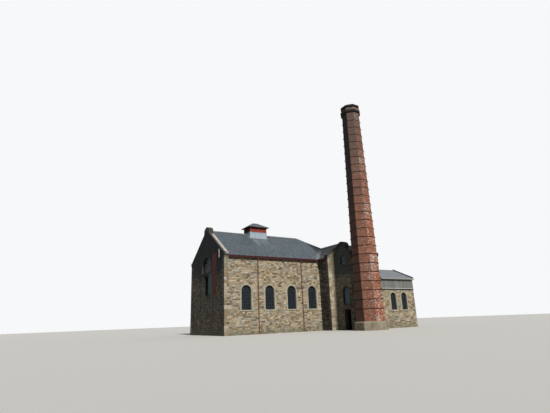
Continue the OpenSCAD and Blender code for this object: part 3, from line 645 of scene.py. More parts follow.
@dataclass(frozen=True)
class SlateFinish(Finish):
    """Blue-grey slate with green and purple tones, moss and pale wash stains.

    The place of the wash is its middle, its upper end and its half width there.
    """

    roughness: float = 0.55
    gloss: float = 0.14
    mottling: Pair = (0.7, 32.0)
    relief: Pair = (0.5, 0.004)
    shades: Stops = (
        (0.00, (0.074, 0.099, 0.124)), (0.30, (0.094, 0.127, 0.159)),
        (0.55, (0.106, 0.139, 0.156)), (0.75, (0.090, 0.109, 0.145)),
        (0.90, (0.122, 0.128, 0.156)), (1.00, (0.146, 0.161, 0.175)),
    )
    stain: Colour = (0.072, 0.092, 0.092)
    moss: Colour = (0.095, 0.105, 0.062)
    wash: Colour = (0.270, 0.315, 0.345)
    wash_place: Triple | None = None

    def paint(self, coat: Coat) -> Socket:
        """Draws the surface.

        Args:
            coat: Nodes of the material.

        Returns:
            Its colour.
        """
        shade, bright, moss = coat.tint()
        colour = coat.shade(coat.ramp(shade, self.shades), bright, dark=0.30, light=1.40)
        colour = coat.over(colour, coat.patches, 0.25, self.stain)
        cover = coat.times(moss, coat.spread(coat.grains, 0.45, 0.9), clamp=True)
        colour = coat.mix(cover, colour, self.moss)
        if self.wash_place is not None:
            colour = coat.mix(self.wash_mask(coat), colour, self.wash)
        coat.roughen(coat.grains, 0.42, 0.68)
        return colour

    def wash_mask(self, coat: Coat) -> Socket:
        """Masks the fan of pale streaks that rain washes down from the ventilator.

        Args:
            coat: Nodes of the material.

        Returns:
            The mask.
        """
        middle, start, half = self.wash_place
        down = coat.minus(start, coat.axis(1))
        aside = coat.math("ABSOLUTE", coat.minus(coat.axis(0), middle))
        width = coat.plus(coat.times(down, 0.22), half)
        inside = coat.math("SUBTRACT", 1.0, coat.math("DIVIDE", aside, width), clamp=True)
        fade = coat.spread(down, 0.3, 4.4, to_low=0.85, to_high=0.0)
        lines = coat.noise(
            coat.stretch(coat.place(), (5.5, 0.35, 0.5)), 1.0, detail=5.0, roughness=0.7)
        soft = coat.times(coat.spread(inside, high=0.25), fade)
        drawn = coat.times(soft, coat.spread(lines, 0.42, 0.66))
        return coat.times(drawn, coat.spread(down, -0.2, 0.1), clamp=True)


@dataclass(frozen=True)
class BrickFinish(Finish):
    """Orange-red brick, sooty towards the top, painted shade on the left, pale spalled faces."""

    mottling: Pair = (0.9, 80.0)
    relief: Pair = (0.6, 0.005)
    shades: Stops = (
        (0.00, (0.200, 0.070, 0.041)), (0.18, (0.372, 0.116, 0.060)),
        (0.45, (0.480, 0.157, 0.079)), (0.70, (0.572, 0.210, 0.108)),
        (0.86, (0.410, 0.184, 0.112)), (0.93, (0.560, 0.400, 0.340)),
        (1.00, (0.700, 0.610, 0.560)),
    )
    smoke_and_shade: Colour = (0.122, 0.103, 0.095)
    smoke_range: Pair = (19.0, 33.0)
    soot_and_shade: Colour = (0.022, 0.026, 0.032)
    cover: float = 0.88

    def paint(self, coat: Coat) -> Socket:
        """Draws the surface.

        Args:
            coat: Nodes of the material.

        Returns:
            Its colour.
        """
        shade, bright, dirt = coat.tint()
        colour = coat.shade(coat.ramp(shade, self.shades), bright, dark=0.78, light=1.16)
        colour = coat.shade(colour, coat.grains, dark=0.82, light=1.12)
        low, high = self.smoke_range
        # The mask is soot towards the top, and painted shade on the sides that look left.
        (smoke_and_shade,) = coat.effect(SMOKE_AND_SHADE, Low=low, High=high)
        colour = coat.over(colour, smoke_and_shade, 0.85, self.smoke_and_shade)
        return coat.over(colour, dirt, self.cover, self.soot_and_shade)


@dataclass(frozen=True)
class PaintFinish(Finish):
    """Old paint that has chalked, chipped and let rust or wood through."""

    mottling: Pair = (2.6, 55.0)
    relief: Pair = (0.35, 0.002)
    colour: Colour = (0.5, 0.5, 0.5)
    worn: Colour = (0.180, 0.080, 0.045)
    dust: Colour = (0.30, 0.29, 0.27)
    wear: float = 0.4

    def paint(self, coat: Coat) -> Socket:
        """Draws the surface.

        Args:
            coat: Nodes of the material.

        Returns:
            Its colour.
        """
        colour = coat.over(self.colour, coat.patches, 0.18, self.dust)
        edge = 0.95 - 0.6 * self.wear
        chips = coat.spread(
            coat.times(coat.grains, coat.patches), edge - 0.12, edge + 0.05, to_high=0.9)
        colour = coat.mix(chips, colour, self.worn)
        (streak,) = coat.effect(STREAKS, Across=9.0, Down=0.7, Sparse=0.52)
        coat.roughen(coat.grains, max(0.2, self.roughness - 0.15), self.roughness)
        return coat.over(colour, streak, 0.5 * self.wear, self.worn)


@dataclass(frozen=True)
class BoardFinish(Finish):
    """Painted timber with its grain, dirt in the joints and rain marks.

    The spans in soot_and_shade_spans give the places along X where painted shade goes from black to
    clean.
    """

    mottling: Pair = (1.9, 44.0)
    relief: Pair = (0.4, 0.003)
    colour: Colour = (0.75, 0.76, 0.74)
    bare: Colour = (0.260, 0.225, 0.180)
    grime: Colour = (0.14, 0.13, 0.12)
    wear: float = 0.3
    grain: Triple = (30.0, 30.0, 2.0)
    soot_and_shade_spans: Pair | None = None
    soot_and_shade: Colour = (0.020, 0.022, 0.032)

    def paint(self, coat: Coat) -> Socket:
        """Draws the surface, whose height is the grain of the wood.

        Args:
            coat: Nodes of the material.

        Returns:
            Its colour.
        """
        shade = coat.spread(coat.tint()[0], to_high=0.22)
        colour = coat.mix(shade, self.colour, self.bare)
        coat.height = coat.noise(
            coat.stretch(coat.place(), self.grain), 1.0, detail=6.0, roughness=0.65)
        peel = coat.times(coat.spread(coat.height, 0.45, 0.75), coat.patches)
        colour = coat.over(colour, peel, self.wear, self.bare)
        (streak,) = coat.effect(STREAKS, Across=11.0, Down=0.8, Sparse=0.5)
        colour = coat.over(colour, streak, 0.45 * self.wear, self.grime)
        # Painted shade on the side that looks left.
        if self.soot_and_shade_spans is not None:
            black = coat.spread(coat.axis(0), *self.soot_and_shade_spans, to_low=0.93, to_high=0.0)
            colour = coat.mix(black, colour, self.soot_and_shade)
        return colour


@dataclass(frozen=True)
class SheetFinish(Finish):
    """Coated metal sheet, dulled and streaked by rain."""

    roughness: float = 0.5
    gloss: float = 0.35
    mottling: Pair = (0.8, 28.0)
    relief: Pair = (0.15, 0.002)
    colour: Colour = (0.30, 0.31, 0.31)
    pale: Colour = (0.42, 0.43, 0.43)
    dirt: Colour = (0.110, 0.110, 0.095)

    def paint(self, coat: Coat) -> Socket:
        """Draws the surface.

        Args:
            coat: Nodes of the material.

        Returns:
            Its colour.
        """
        (wide,) = coat.effect(STREAKS, Across=2.8, Down=0.12, Sparse=0.44)
        (fine,) = coat.effect(STREAKS, Across=13.0, Down=0.35, Sparse=0.50)
        colour = coat.over(self.colour, wide, 0.55, self.pale)
        colour = coat.over(colour, fine, 0.35, self.dirt)
        coat.roughen(coat.patches, 0.38, 0.62)
        return coat.over(colour, coat.patches, 0.2, self.dirt)


@dataclass(frozen=True)
class LeadFinish(Finish):
    """Weathered lead with white bloom."""

    mottling: Pair = (3.0, 30.0)
    relief: Pair = (0.4, 0.003)
    colour: Colour = (0.150, 0.165, 0.180)
    bloom: Colour = (0.400, 0.420, 0.440)
    dull: Colour = (0.110, 0.118, 0.128)

    def paint(self, coat: Coat) -> Socket:
        """Draws the surface.

        Args:
            coat: Nodes of the material.

        Returns:
            Its colour.
        """
        colour = coat.over(self.colour, coat.patches, 0.6, self.bloom)
        return coat.mix(coat.spread(coat.grains, low=0.5, to_high=0.5), colour, self.dull)


@dataclass(frozen=True)
class GlassFinish(Finish):
    """Old panes over a dark room, dusty, with a painted sky reflection in one corner of the house.
    """

    mottling: Pair = (1.6, 12.0)
    relief: Pair = (0.25, 0.02)
    colour: Colour = (0.015, 0.021, 0.026)
    dust: Colour = (0.033, 0.046, 0.062)
    painted_reflection: Colour = (0.195, 0.268, 0.340)
    painted_reflection_below: Pair = (0.0, 0.0)
    cover: float = 0.86
    refraction: float = 1.5

    def paint(self, coat: Coat) -> Socket:
        """Draws the surface, whose height is the waves of old glass.

        Args:
            coat: Nodes of the material.

        Returns:
            Its colour.
        """
        colour = coat.over(self.colour, coat.patches, 0.45, self.dust)
        inside = [coat.spread(coat.axis(axis), edge - 0.05, edge, to_low=1.0, to_high=0.0)
                  for axis, edge in enumerate(self.painted_reflection_below)]
        coat.roughen(coat.patches, 0.12, 0.45)
        coat.shader.inputs["Alpha"].default_value = self.cover
        coat.shader.inputs["IOR"].default_value = self.refraction
        coat.height = coat.noise(coat.place(), 2.4, detail=1.0, roughness=0.4)
        # Panes in the bay corner get a pale blue: painted sky reflection.
        return coat.mix(coat.times(*inside), colour, self.painted_reflection)


# Laying pieces


def quad(left: float, low: float, right: float, high: float) -> tuple[Pair, ...]:
    """Returns the corners of an upright rectangle, from the lower left round."""
    return (left, low), (right, low), (right, high), (left, high)


class Cut(Enum):
    """Shapes that stones, bricks and slates are cut to: rings of edges, and a crown."""

    PLAIN = (1, False)
    PILLOW = (1, True)
    TOOLED = (2, False)

    def blank(self) -> tuple[np.ndarray, np.ndarray, list[list[int]]]:
        """Cuts one piece.

        Returns:
            The corner of each vertex, from 0 to 3 or 4 for the middle, its ring
            from the back, and the vertices of each face.
        """
        rings, crowned = self.value
        mesh = bmesh.new()
        bmesh.ops.create_grid(mesh, x_segments=1, y_segments=1, size=1.0)
        top = mesh.faces[:]
        for _ in range(rings):
            bmesh.ops.inset_region(mesh, faces=top, use_boundary=True,
                                   use_even_offset=True, thickness=0.1, depth=1.0)
        if crowned:
            bmesh.ops.poke(mesh, faces=top)
        mesh.verts.index_update()
        corners, levels = [], []
        for vertex in mesh.verts:
            x, y, z = vertex.co
            middle = abs(x) < 0.1
            corners.append(CROWN if middle else (3 - (x > 0) if y > 0 else int(x > 0)))
            levels.append(rings + 1 if middle else round(z))
        faces = [[v.index for v in face.verts] for face in mesh.faces]
        mesh.free()
        return np.array(corners), np.array(levels), faces


@dataclass(frozen=True)
class Plane:
    """A flat face that pieces are laid on, with s along it and v up it."""

    origin: Triple
    along: Triple
    up: Triple

    @classmethod
    def upright(cls, x: float, y: float, facing: float, z: float = 0.0,
                batter: float = 0.0) -> "Plane":
        """Places a wall face.

        Args:
            x: Plan place of its left end, as seen from outside.
            y: The same, towards the back.
            facing: Turn of the face, in degrees, where 0 looks to the front.
            z: Height of its foot.
            batter: How far it leans in over each metre of height.

        Returns:
            The face.
        """
        turn = math.radians(facing)
        along = (math.cos(turn), math.sin(turn), 0.0)
        lean = np.array([-math.sin(turn) * batter, math.cos(turn) * batter, 1.0])
        place = CORNER + np.array([x, y, z])
        return cls(tuple(place), along, tuple(lean / np.linalg.norm(lean)))

    @property
    def out(self) -> np.ndarray:
        """Returns the direction that the face looks to."""
        return np.cross(self.along, self.up)

    def points(self, flat: np.ndarray, proud: np.ndarray) -> np.ndarray:
        """Returns the places of spots of the face that stand proud of it."""
        return (np.array(self.origin) + flat[..., :1] * np.array(self.along)
                + flat[..., 1:2] * np.array(self.up) + proud[..., None] * self.out)


@dataclass(frozen=True)
class Gap:
    """A part of a face that is left free, with a flat or a round head."""

    middle: float
    half: float
    low: float
    high: float
    round_head: bool = False

    @property
    def top(self) -> float:
        """Returns the height of its crown."""
        return self.high + (self.half if self.round_head else 0.0)

    def reach(self, v: float) -> float:
        """Finds how far it spreads to each side.

        Args:
            v: Height on the face.

        Returns:
            Half its width there.
        """
        if v <= self.high:
            return self.half
        return math.sqrt(max(self.half ** 2 - (v - self.high) ** 2, 0.0))


@dataclass(frozen=True)
class Run:
    """A stretch of one course: its four corners, from the lower left round."""

    left: Pair
    right: Pair
    low: float
    high: float

    def without(self, gap: Gap) -> list["Run"]:
        """Takes a gap out of the stretch.

        Args:
            gap: Part of the face that is left free.

        Returns:
            What is left beside, under and over it.
        """
        if self.high <= gap.low or self.low >= gap.top:
            return [self]
        foot = gap.reach(max(self.low, gap.low))
        head = gap.reach(min(self.high, gap.top))
        if max(self.right) <= gap.middle - foot or min(self.left) >= gap.middle + foot:
            return [self]
        low_side = (gap.middle - foot, gap.middle - head)
        high_side = (gap.middle + foot, gap.middle + head)
        parts = [Run(self.left, low_side, self.low, self.high),
                 Run(high_side, self.right, self.low, self.high)]
        if self.low < gap.low - 0.03:
            parts.append(Run((low_side[0],) * 2, (high_side[0],) * 2, self.low, gap.low))
        if not gap.round_head and self.high > gap.top + 0.03:
            parts.append(Run((low_side[1],) * 2, (high_side[1],) * 2, gap.top, self.high))
        return [part for part in parts if part.length > 0.05]

    def without_all(self, gaps: Iterable[Gap]) -> list["Run"]:
        """Takes several gaps out of the stretch.

        Args:
            gaps: Parts of the face that are left free.

        Returns:
            What is left of it.
        """
        runs = [self]
        for gap in gaps:
            runs = [part for old in runs for part in old.without(gap)]
        return runs

    @property
    def length(self) -> float:
        """Returns its mean length."""
        return (sum(self.right) - sum(self.left)) / 2


class Bond:
    """How the upright joints of a course are placed."""

    def lengths(self, row: int) -> Iterator[float]:
        """Yields the lengths of the pieces of one course, from its left end.

        Args:
            row: Number of the course.
        """
        raise NotImplementedError


@dataclass(frozen=True)
class RubbleBond(Bond):
    """Stones of many lengths."""

    dice: random.Random
    low: float = 0.24
    high: float = 0.60

    def lengths(self, row: int) -> Iterator[float]:
        """Yields the lengths, as Bond.lengths says."""
        while True:
            yield self.dice.uniform(self.low, self.high)


@dataclass(frozen=True)
class EvenBond(Bond):
    """Equal pieces, each course half a piece over, with header courses between."""

    unit: float
    headers_every: int = 0

    def lengths(self, row: int) -> Iterator[float]:
        """Yields the lengths of the pieces of one course, from its left end.

        Args:
            row: Number of the course.
        """
        header = self.headers_every > 0 and row % self.headers_every == 0
        unit = self.unit / 2 if header else self.unit
        yield unit * (0.75 if header else (0.5 if row % 2 else 1.0))
        while True:
            yield unit


@dataclass
class Layer:
    """Many small pieces laid on faces and joined as one mesh."""

    cut: Cut
    seed: int
    joint: float = 0.014
    inset: float = 0.012
    back: float = 0.02
    proud: Pair = (0.008, 0.020)
    ragged: float = 0.004
    corners: list[np.ndarray] = field(default_factory=list)
    prouds: list[np.ndarray] = field(default_factory=list)
    tints: list[Triple] = field(default_factory=list)
    planes: list[Plane] = field(default_factory=list)

    def __post_init__(self) -> None:
        """Starts the dice from the layer's seed."""
        self.dice = random.Random(self.seed)

    def lay(self, plane: Plane, quad: Sequence[Pair], proud: Sequence[float] | None,
            tint: Triple) -> None:
        """Lays one piece.

        Args:
            plane: Face that it lies on.
            quad: Its corners on the face, from the lower left round.
            proud: How far each corner stands out, or None for a chance height.
            tint: Its shade, brightness and dirt.
        """
        if proud is None:
            proud = (self.dice.uniform(*self.proud),) * 4
        self.planes.append(plane)
        self.corners.append(np.array(quad, dtype=float))
        self.prouds.append(np.array(proud, dtype=float))
        self.tints.append(tint)

    def course(self, plane: Plane, run: Run, row: int, bond: Bond,
               tinting: Tinting, shortest: float = 0.14,
               slope: Pair | None = None) -> None:
        """Lays one stretch of a course.

        Args:
            plane: Face that it lies on.
            run: The stretch.
            row: Number of the course.
            bond: How its joints are placed.
            tinting: Gives the shade, brightness and dirt of a piece at s and v.
            shortest: Least length of a piece at an end.
            slope: How far lower and upper edges stand out, where it isn't chance.
        """
        first, last = max(run.left) + shortest, min(run.right) - shortest
        place, joints = min(run.left), []
        for length in bond.lengths(row):
            place += length
            if place > last:
                break
            if place > first:
                joints.append(place)
        lefts = [run.left] + [(place, place) for place in joints]
        rights = [(place, place) for place in joints] + [run.right]
        for left, right in zip(lefts, rights):
            proud = None if slope is None else (slope[0], slope[0], slope[1], slope[1])
            tint = tinting(self.dice, (left[0] + right[0]) / 2, run.low)
            self.lay(plane, ((left[0], run.low), (right[0], run.low),
                             (right[1], run.high), (left[1], run.high)), proud, tint)

    def piece(self, name: str, finish: Finish, slot: str) -> bpy.types.Object:
        """Joins what was laid as one object.

        Args:
            name: Name of the object.
            finish: Its finish.
            slot: Name of a finish slot; not used.

        Returns:
            The object, which rides on the building.
        """
        which, levels, faces = self.cut.blank()
        flat = np.array(self.corners)
        proud = np.array(self.prouds)
        chance = np.random.default_rng(self.seed)
        flat = self.shrink(flat, self.joint / 2)
        flat += chance.uniform(-self.ragged, self.ragged, flat.shape)
        inner = self.shrink(flat, self.inset)
        rings = max(levels[which < CROWN])
        spots = np.empty((len(flat), len(which), 2))
        heights = np.empty((len(flat), len(which)))
        for number, (corner, level) in enumerate(zip(which, levels)):
            if corner == CROWN:
                spot = inner.mean(axis=1)
                height = proud.mean(axis=1) + chance.uniform(0.0, self.inset * 0.7, len(flat))
            elif level == rings:
                spot, height = inner[:, corner], proud[:, corner]
            else:
                spot = flat[:, corner]
                height = proud[:, corner] - self.inset if level else -self.back
            spots[:, number], heights[:, number] = spot, height
        points = np.empty((len(flat), len(which), 3))
        for plane in set(self.planes):
            own = np.array([other == plane for other in self.planes])
            points[own] = plane.points(spots[own], heights[own])
        return settle(name, self.mesh(name, points, faces), finish)

    @staticmethod
    def shrink(flat: np.ndarray, inset: float) -> np.ndarray:
        """Moves corners in along both edges that meet at each.

        Args:
            flat: Corners of the pieces.
            inset: How far they move.

        Returns:
            The moved corners.
        """
        moved = flat.copy()
        for step in (1, -1):
            edge = np.roll(flat, -step, axis=1) - flat
            length = np.linalg.norm(edge, axis=2, keepdims=True)
            share = np.minimum(inset / np.maximum(length, 1e-4), 0.45)
            moved += edge * share
        return moved

    def mesh(self, name: str, points: np.ndarray, faces: list[list[int]]) -> bpy.types.Mesh:
        """Makes one mesh of copies of the blank.

        Args:
            name: Name of the mesh.
            points: Vertices of each copy.
            faces: Faces of one copy.

        Returns:
            The mesh.
        """
        count, each = points.shape[:2]
        shift = np.repeat(np.arange(count) * each, sum(map(len, faces)))
        loops = np.tile(np.concatenate(faces), count) + shift
        sizes = np.tile([len(face) for face in faces], count)
        mesh = bpy.data.meshes.new(name)
        mesh.vertices.add(count * each)
        mesh.vertices.foreach_set("co", points.astype(np.float32).ravel())
        mesh.loops.add(len(loops))
        mesh.loops.foreach_set("vertex_index", loops.astype(np.int32))
        mesh.polygons.add(len(sizes))
        starts = np.concatenate(([0], np.cumsum(sizes)[:-1]))
        mesh.polygons.foreach_set("loop_start", starts.astype(np.int32))
        mesh.polygons.foreach_set("use_smooth", np.zeros(len(sizes), dtype=bool))
        mesh.update(calc_edges=True)
        tints = np.repeat(np.array(self.tints, dtype=np.float32), len(faces), axis=0)
        mesh.attributes.new(TINT, "FLOAT_VECTOR", "FACE").data.foreach_set("vector", tints.ravel())
        mesh.validate()
        return mesh


def link(name: str, data: bpy.types.ID) -> bpy.types.Object:
    """Puts a new object in the scene.

    Args:
        name: Its name.
        data: Its mesh, camera or lamp.

    Returns:
        The object.
    """
    made = bpy.data.objects.new(name, data)
    bpy.context.scene.collection.objects.link(made)
    return made


def settle(name: str, mesh: bpy.types.Mesh, finish: Finish) -> bpy.types.Object:
    """Puts a mesh in the scene as a piece of the building.

    Args:
        name: Name of the object.
        mesh: Its mesh, already in place.
        finish: Its finish.

    Returns:
        The object.
    """
    made = link(name, mesh)
    made.data.materials.append(finish.material())
    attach(made, BODY)
    faces = sum(len(face.vertices) - 2 for face in mesh.polygons)
    LOG.info("%s: %d triangles", name, faces)
    return made


class Bench:
    """A mesh in the making: boxes, bars and rods that are joined as one piece."""

    def __init__(self) -> None:
        """Starts with an empty mesh."""
        self.mesh = bmesh.new()
        self.tints: list[tuple[int, Triple]] = []

    def box(self, low: Triple, high: Triple, tint: Triple = BLANK_TINT) -> None:
        """Adds a box.

        Args:
            low: Its lowest corner, in plan sizes.
            high: Its highest corner.
            tint: Its shade, brightness and dirt.
        """
        start, end = CORNER + np.array(low), CORNER + np.array(high)
        middle = Matrix.Translation(Vector((start + end) / 2))
        size = Matrix.Diagonal((*(end - start), 1.0))
        self.cube(middle @ size, tint)

    def cube(self, matrix: Matrix, tint: Triple = BLANK_TINT) -> None:
        """Adds a cube of one metre that a matrix shapes and places."""
        bmesh.ops.create_cube(self.mesh, size=1.0, matrix=matrix)
        self.tints.append((6, tint))

    def bar(self, plane: Plane, start: Pair, end: Pair, wide: float,
            depth: Pair, tint: Triple = BLANK_TINT) -> None:
        """Adds a square bar that lies on a face.

        Args:
            plane: The face.
            start: One end on it.
            end: The other end.
            wide: Width of the bar.
            depth: How far its back and its front stand out of the face.
            tint: Its shade, brightness and dirt.
        """
        ends = np.array([start, end])
        middle = plane.points(ends.mean(axis=0), np.array(sum(depth) / 2))
        run = plane.points(ends, np.zeros(2))
        along = Vector(run[1] - run[0])
        out = Vector(plane.out)
        across = out.cross(along.normalized())
        turn = Matrix((along, across * wide, out * (depth[1] - depth[0]))).transposed()
        self.cube(Matrix.Translation(Vector(middle)) @ turn.to_4x4(), tint)

    def rod(self, start: Sequence[float], end: Sequence[float], radius: float,
            sides: int = 8, tip: float | None = None) -> None:
        """Adds a round rod.

        Args:
            start: One end, in the frame that all pieces share.
            end: The other end.
            radius: Radius at the start.
            sides: Number of its sides.
            tip: Radius at the end, where it isn't the same.
        """
        first, last = Vector(start), Vector(end)
        axis = last - first
        turn = axis.to_track_quat("Z", "Y").to_matrix().to_4x4()
        place = Matrix.Translation((first + last) / 2) @ turn
        bmesh.ops.create_cone(
            self.mesh, cap_ends=True, cap_tris=False, segments=sides, radius1=radius,
            radius2=radius if tip is None else tip, depth=axis.length, matrix=place)
        self.tints.append((sides + 2, BLANK_TINT))

    def pin(self, plane: Plane, start: Triple, end: Triple, radius: float,
            sides: int = 6, tip: float | None = None) -> None:
        """Adds a rod between two places of a face, each with its height over it."""
        ends = np.array([start, end])
        self.rod(*plane.points(ends[:, :2], ends[:, 2]), radius, sides, tip)

    def piece(self, name: str, finish: Finish, slot: str, bevel: float = 0.0) -> bpy.types.Object:
        """Joins what was made as one object.

        Args:
            name: Name of the object.
            finish: Its finish.
            slot: Name of a finish slot; not used.
            bevel: Width of the chamfer on its edges.

        Returns:
            The object, which rides on the building.
        """
        tint = self.mesh.faces.layers.float_vector.new(TINT)
        self.mesh.faces.ensure_lookup_table()
        number = 0
        for count, value in self.tints:
            for face in self.mesh.faces[number:number + count]:
                face[tint] = value
            number += count
        if bevel > 0.0:
            bmesh.ops.bevel(
                self.mesh, geom=self.mesh.edges[:], offset=bevel, affect="EDGES", segments=1,
                profile=0.5, material=-1, clamp_overlap=True)
        bmesh.ops.recalc_face_normals(self.mesh, faces=self.mesh.faces[:])
        made = bpy.data.meshes.new(name)
        self.mesh.to_mesh(made)
        self.mesh.free()
        return settle(name, made, finish)


# The building


RUBBLE = RubbleFinish("weathered_rubble")
# The walls that look left: most of their black is painted shade, with some soot.
SOOTY_SHADED_RUBBLE = RubbleFinish("sooty_shaded_rubble", soot_and_shade=(0.021, 0.023, 0.026), cover=0.97)
# The bay's left wall: painted shade, with a cool grey that paints the sky light in its recess.
SHADED_GREY_RUBBLE = RubbleFinish("shaded_grey_rubble", soot_and_shade=(0.082, 0.097, 0.096), cover=0.97)
MOSSY_RUBBLE = RubbleFinish("mossy_rubble", soot_and_shade=(0.120, 0.116, 0.048))
MORTAR = MortarFinish("lime_mortar")
# Mortar of the walls that look left: soot, and painted shade.
SOOTY_SHADED_MORTAR = MortarFinish("sooty_shaded_mortar", soot_and_shade=0.80)
DRESSED = DressedFinish("tooled_freestone")
# Their faces that look left get painted shade.
QUOINS = DressedFinish("tooled_corner_stone", colour=(0.650, 0.580, 0.455), left_shade=0.88,
                       variety=1.0, brown=(0.330, 0.245, 0.150))
# Along X the coping goes black at its outer left edge: painted shade. Up and down it goes black at
# the apex and the kneelers.
COPING = DressedFinish(
    "hall_coping_stone", colour=(0.590, 0.565, 0.515), soot_and_shade=0.04, joint_axis=1,
    joint_middle=6.13 + CORNER[1],
    soot_and_shade_spans=((2, 13.86, 14.10), (0, CORNER[0] + 0.30, CORNER[0] + 0.12), (2, 10.90, 10.00)))
# The wing and bay copings are darkened all over: soot, and painted shade.
WING_COPING = DressedFinish("wing_coping_stone", colour=(0.280, 0.255, 0.205),
                            soot_and_shade=0.88, joint_axis=0, joint_middle=18.62 + CORNER[0])
BAY_COPING = DressedFinish("bay_coping_stone", colour=(0.280, 0.255, 0.205),
                           soot_and_shade=0.90, joint_axis=1, joint_middle=-4.04 + CORNER[1])
SLATES = SlateFinish("roof_slate", wash_place=tuple(
    (CORNER + np.array([8.05, 5.10, 0.0]))[:2]) + (1.35,))
# The chimney's bricks and mortar get painted shade on the sides that look left, over their soot.
BRICK = BrickFinish("hard_red_brick")
HEAD_BRICK = BrickFinish("sooty_shaded_head_brick", smoke_and_shade=(0.060, 0.055, 0.053), shades=(
    (0.00, (0.270, 0.185, 0.145)), (0.40, (0.470, 0.330, 0.260)),
    (0.75, (0.550, 0.420, 0.340)), (1.00, (0.380, 0.245, 0.190)),
), smoke_range=(29.0, 48.0), soot_and_shade=(0.013, 0.015, 0.018), cover=0.97)
BRICK_MORTAR = MortarFinish(
    "brick_mortar", colour=(0.250, 0.196, 0.152), deep=(0.120, 0.094, 0.076), left_shade=0.86)
HEAD_MORTAR = MortarFinish(
    "sooty_shaded_head_mortar", colour=(0.060, 0.056, 0.052), deep=(0.024, 0.023, 0.023), left_shade=0.9)
LEAD = LeadFinish("weathered_lead", roughness=0.6, gloss=0.4)
GUTTER = PaintFinish(
    "maroon_gutter_paint", colour=(0.050, 0.012, 0.014), worn=(0.070, 0.040, 0.030),
    roughness=0.6, dust=(0.080, 0.055, 0.048))
GREY_GUTTER = PaintFinish(
    "grey_gutter_paint", colour=(0.320, 0.325, 0.320), worn=(0.150, 0.120, 0.095), roughness=0.55)
DOWNPIPE = PaintFinish("rust_brown_pipe_paint", colour=(0.190, 0.072, 0.045), roughness=0.7)
FLAGS = MortarFinish("floor_flags", colour=(0.24, 0.22, 0.19), deep=(0.14, 0.13, 0.11))
WINDOW_PAINT = PaintFinish(
    "dark_window_paint", colour=(0.044, 0.050, 0.056), worn=(0.040, 0.030, 0.025), roughness=0.7,
    dust=(0.110, 0.112, 0.110))
GLASS = GlassFinish(
    "old_glass", roughness=0.15, gloss=0.06, painted_reflection_below=(CORNER[0] + 17.3, CORNER[1] - 2.4))
GREEN_TIMBER = BoardFinish(
    "green_leaf_paint", colour=(0.052, 0.108, 0.104), bare=(0.055, 0.060, 0.052))
# The lining of the rope opening is near black: painted shade of the deep opening.
SHADED_LINING_TIMBER = BoardFinish(
    "shaded_lining_paint", colour=(0.034, 0.042, 0.040), bare=(0.055, 0.045, 0.036))
RED_PLATE = PaintFinish(
    "red_oxide_plate", colour=(0.088, 0.020, 0.016), worn=(0.046, 0.024, 0.018), wear=0.75,
    roughness=0.75, dust=(0.110, 0.052, 0.042))
PALE_PIPE = PaintFinish("pale_vent_pipe", colour=(0.400, 0.405, 0.420), roughness=0.5)
WHITE_BOARDS = BoardFinish("white_board_paint", colour=(0.420, 0.500, 0.585))
# The left side of the louvres gets painted shade.
LOUVRE_PAINT = BoardFinish(
    "red_louvre_paint", colour=(0.430, 0.096, 0.060), bare=(0.110, 0.050, 0.040),
    grain=(6.0, 6.0, 30.0), soot_and_shade_spans=(CORNER[0] + 6.62, CORNER[0] + 6.68))
VENT_ROOF = SlateFinish("ventilator_slate")
CLADDING = SheetFinish(
    "streaked_wall_sheet", colour=(0.195, 0.200, 0.190), pale=(0.400, 0.410, 0.395))
FLASHING = SheetFinish("pale_flashing", colour=(0.520, 0.530, 0.520),
                       pale=(0.680, 0.690, 0.680), dirt=(0.240, 0.240, 0.220))
SHEET_ROOF = SheetFinish(
    "streaked_roof_sheet", colour=(0.292, 0.314, 0.352), pale=(0.390, 0.410, 0.444), gloss=0.3)
# Dark paint of the verges, and of the plates that paint the drips' shadow.
VERGE_AND_SHADOW_PAINT = PaintFinish(
    "dark_verge_and_shadow_paint", colour=(0.022, 0.026, 0.034), worn=(0.060, 0.048, 0.040), roughness=0.6,
    dust=(0.090, 0.090, 0.088))
PLINTH = DressedFinish("chimney_foot_stone", colour=(0.400, 0.345, 0.260))
BAND_IRON = PaintFinish(
    "rusted_band_iron", colour=(0.030, 0.017, 0.014), worn=(0.085, 0.032, 0.019), wear=0.8,
    roughness=0.85, dust=(0.060, 0.040, 0.033))

CAD_FINISHES: dict[str, Finish] = {
    **dict.fromkeys(("front_wall", "rear_wall", "end_wall", "wing_gable",
                     "bay_front_wall", "bay_right_gable", "range_front_wall",
                     "range_rear_wall", "range_end_wall"), MORTAR),
    **dict.fromkeys(("rope_gable", "wing_side_wall", "bay_left_gable"), SOOTY_SHADED_MORTAR),
    "wing_coping": WING_COPING, "bay_copings": BAY_COPING, "hall_gable_coping": COPING,
    "window_surrounds": DRESSED,
    **dict.fromkeys(("front_slope", "rear_slope", "hip_slope", "wing_slope", "bay_roof"), SLATES),
    **dict.fromkeys(("ridge_rolls", "valley_lead", "bay_ridge_roll"), LEAD),
    "gutters": GUTTER, "range_gutters": GREY_GUTTER, "downpipes": DOWNPIPE,
    "engine_floor": FLAGS, "window_frames": WINDOW_PAINT, "window_glass": GLASS,
    "rope_lining": SHADED_LINING_TIMBER, "slot_plates": RED_PLATE,
    "gable_pipe": PALE_PIPE, "cupola_base": WHITE_BOARDS,
    "cupola_louvres": LOUVRE_PAINT, "cupola_roof": VENT_ROOF,
    "range_cladding": CLADDING, "range_roof": SHEET_ROOF, "chimney_plinth": PLINTH,
    "chimney_shaft": BRICK_MORTAR, "chimney_bands": BAND_IRON,
    "chimney_head": HEAD_MORTAR,
}


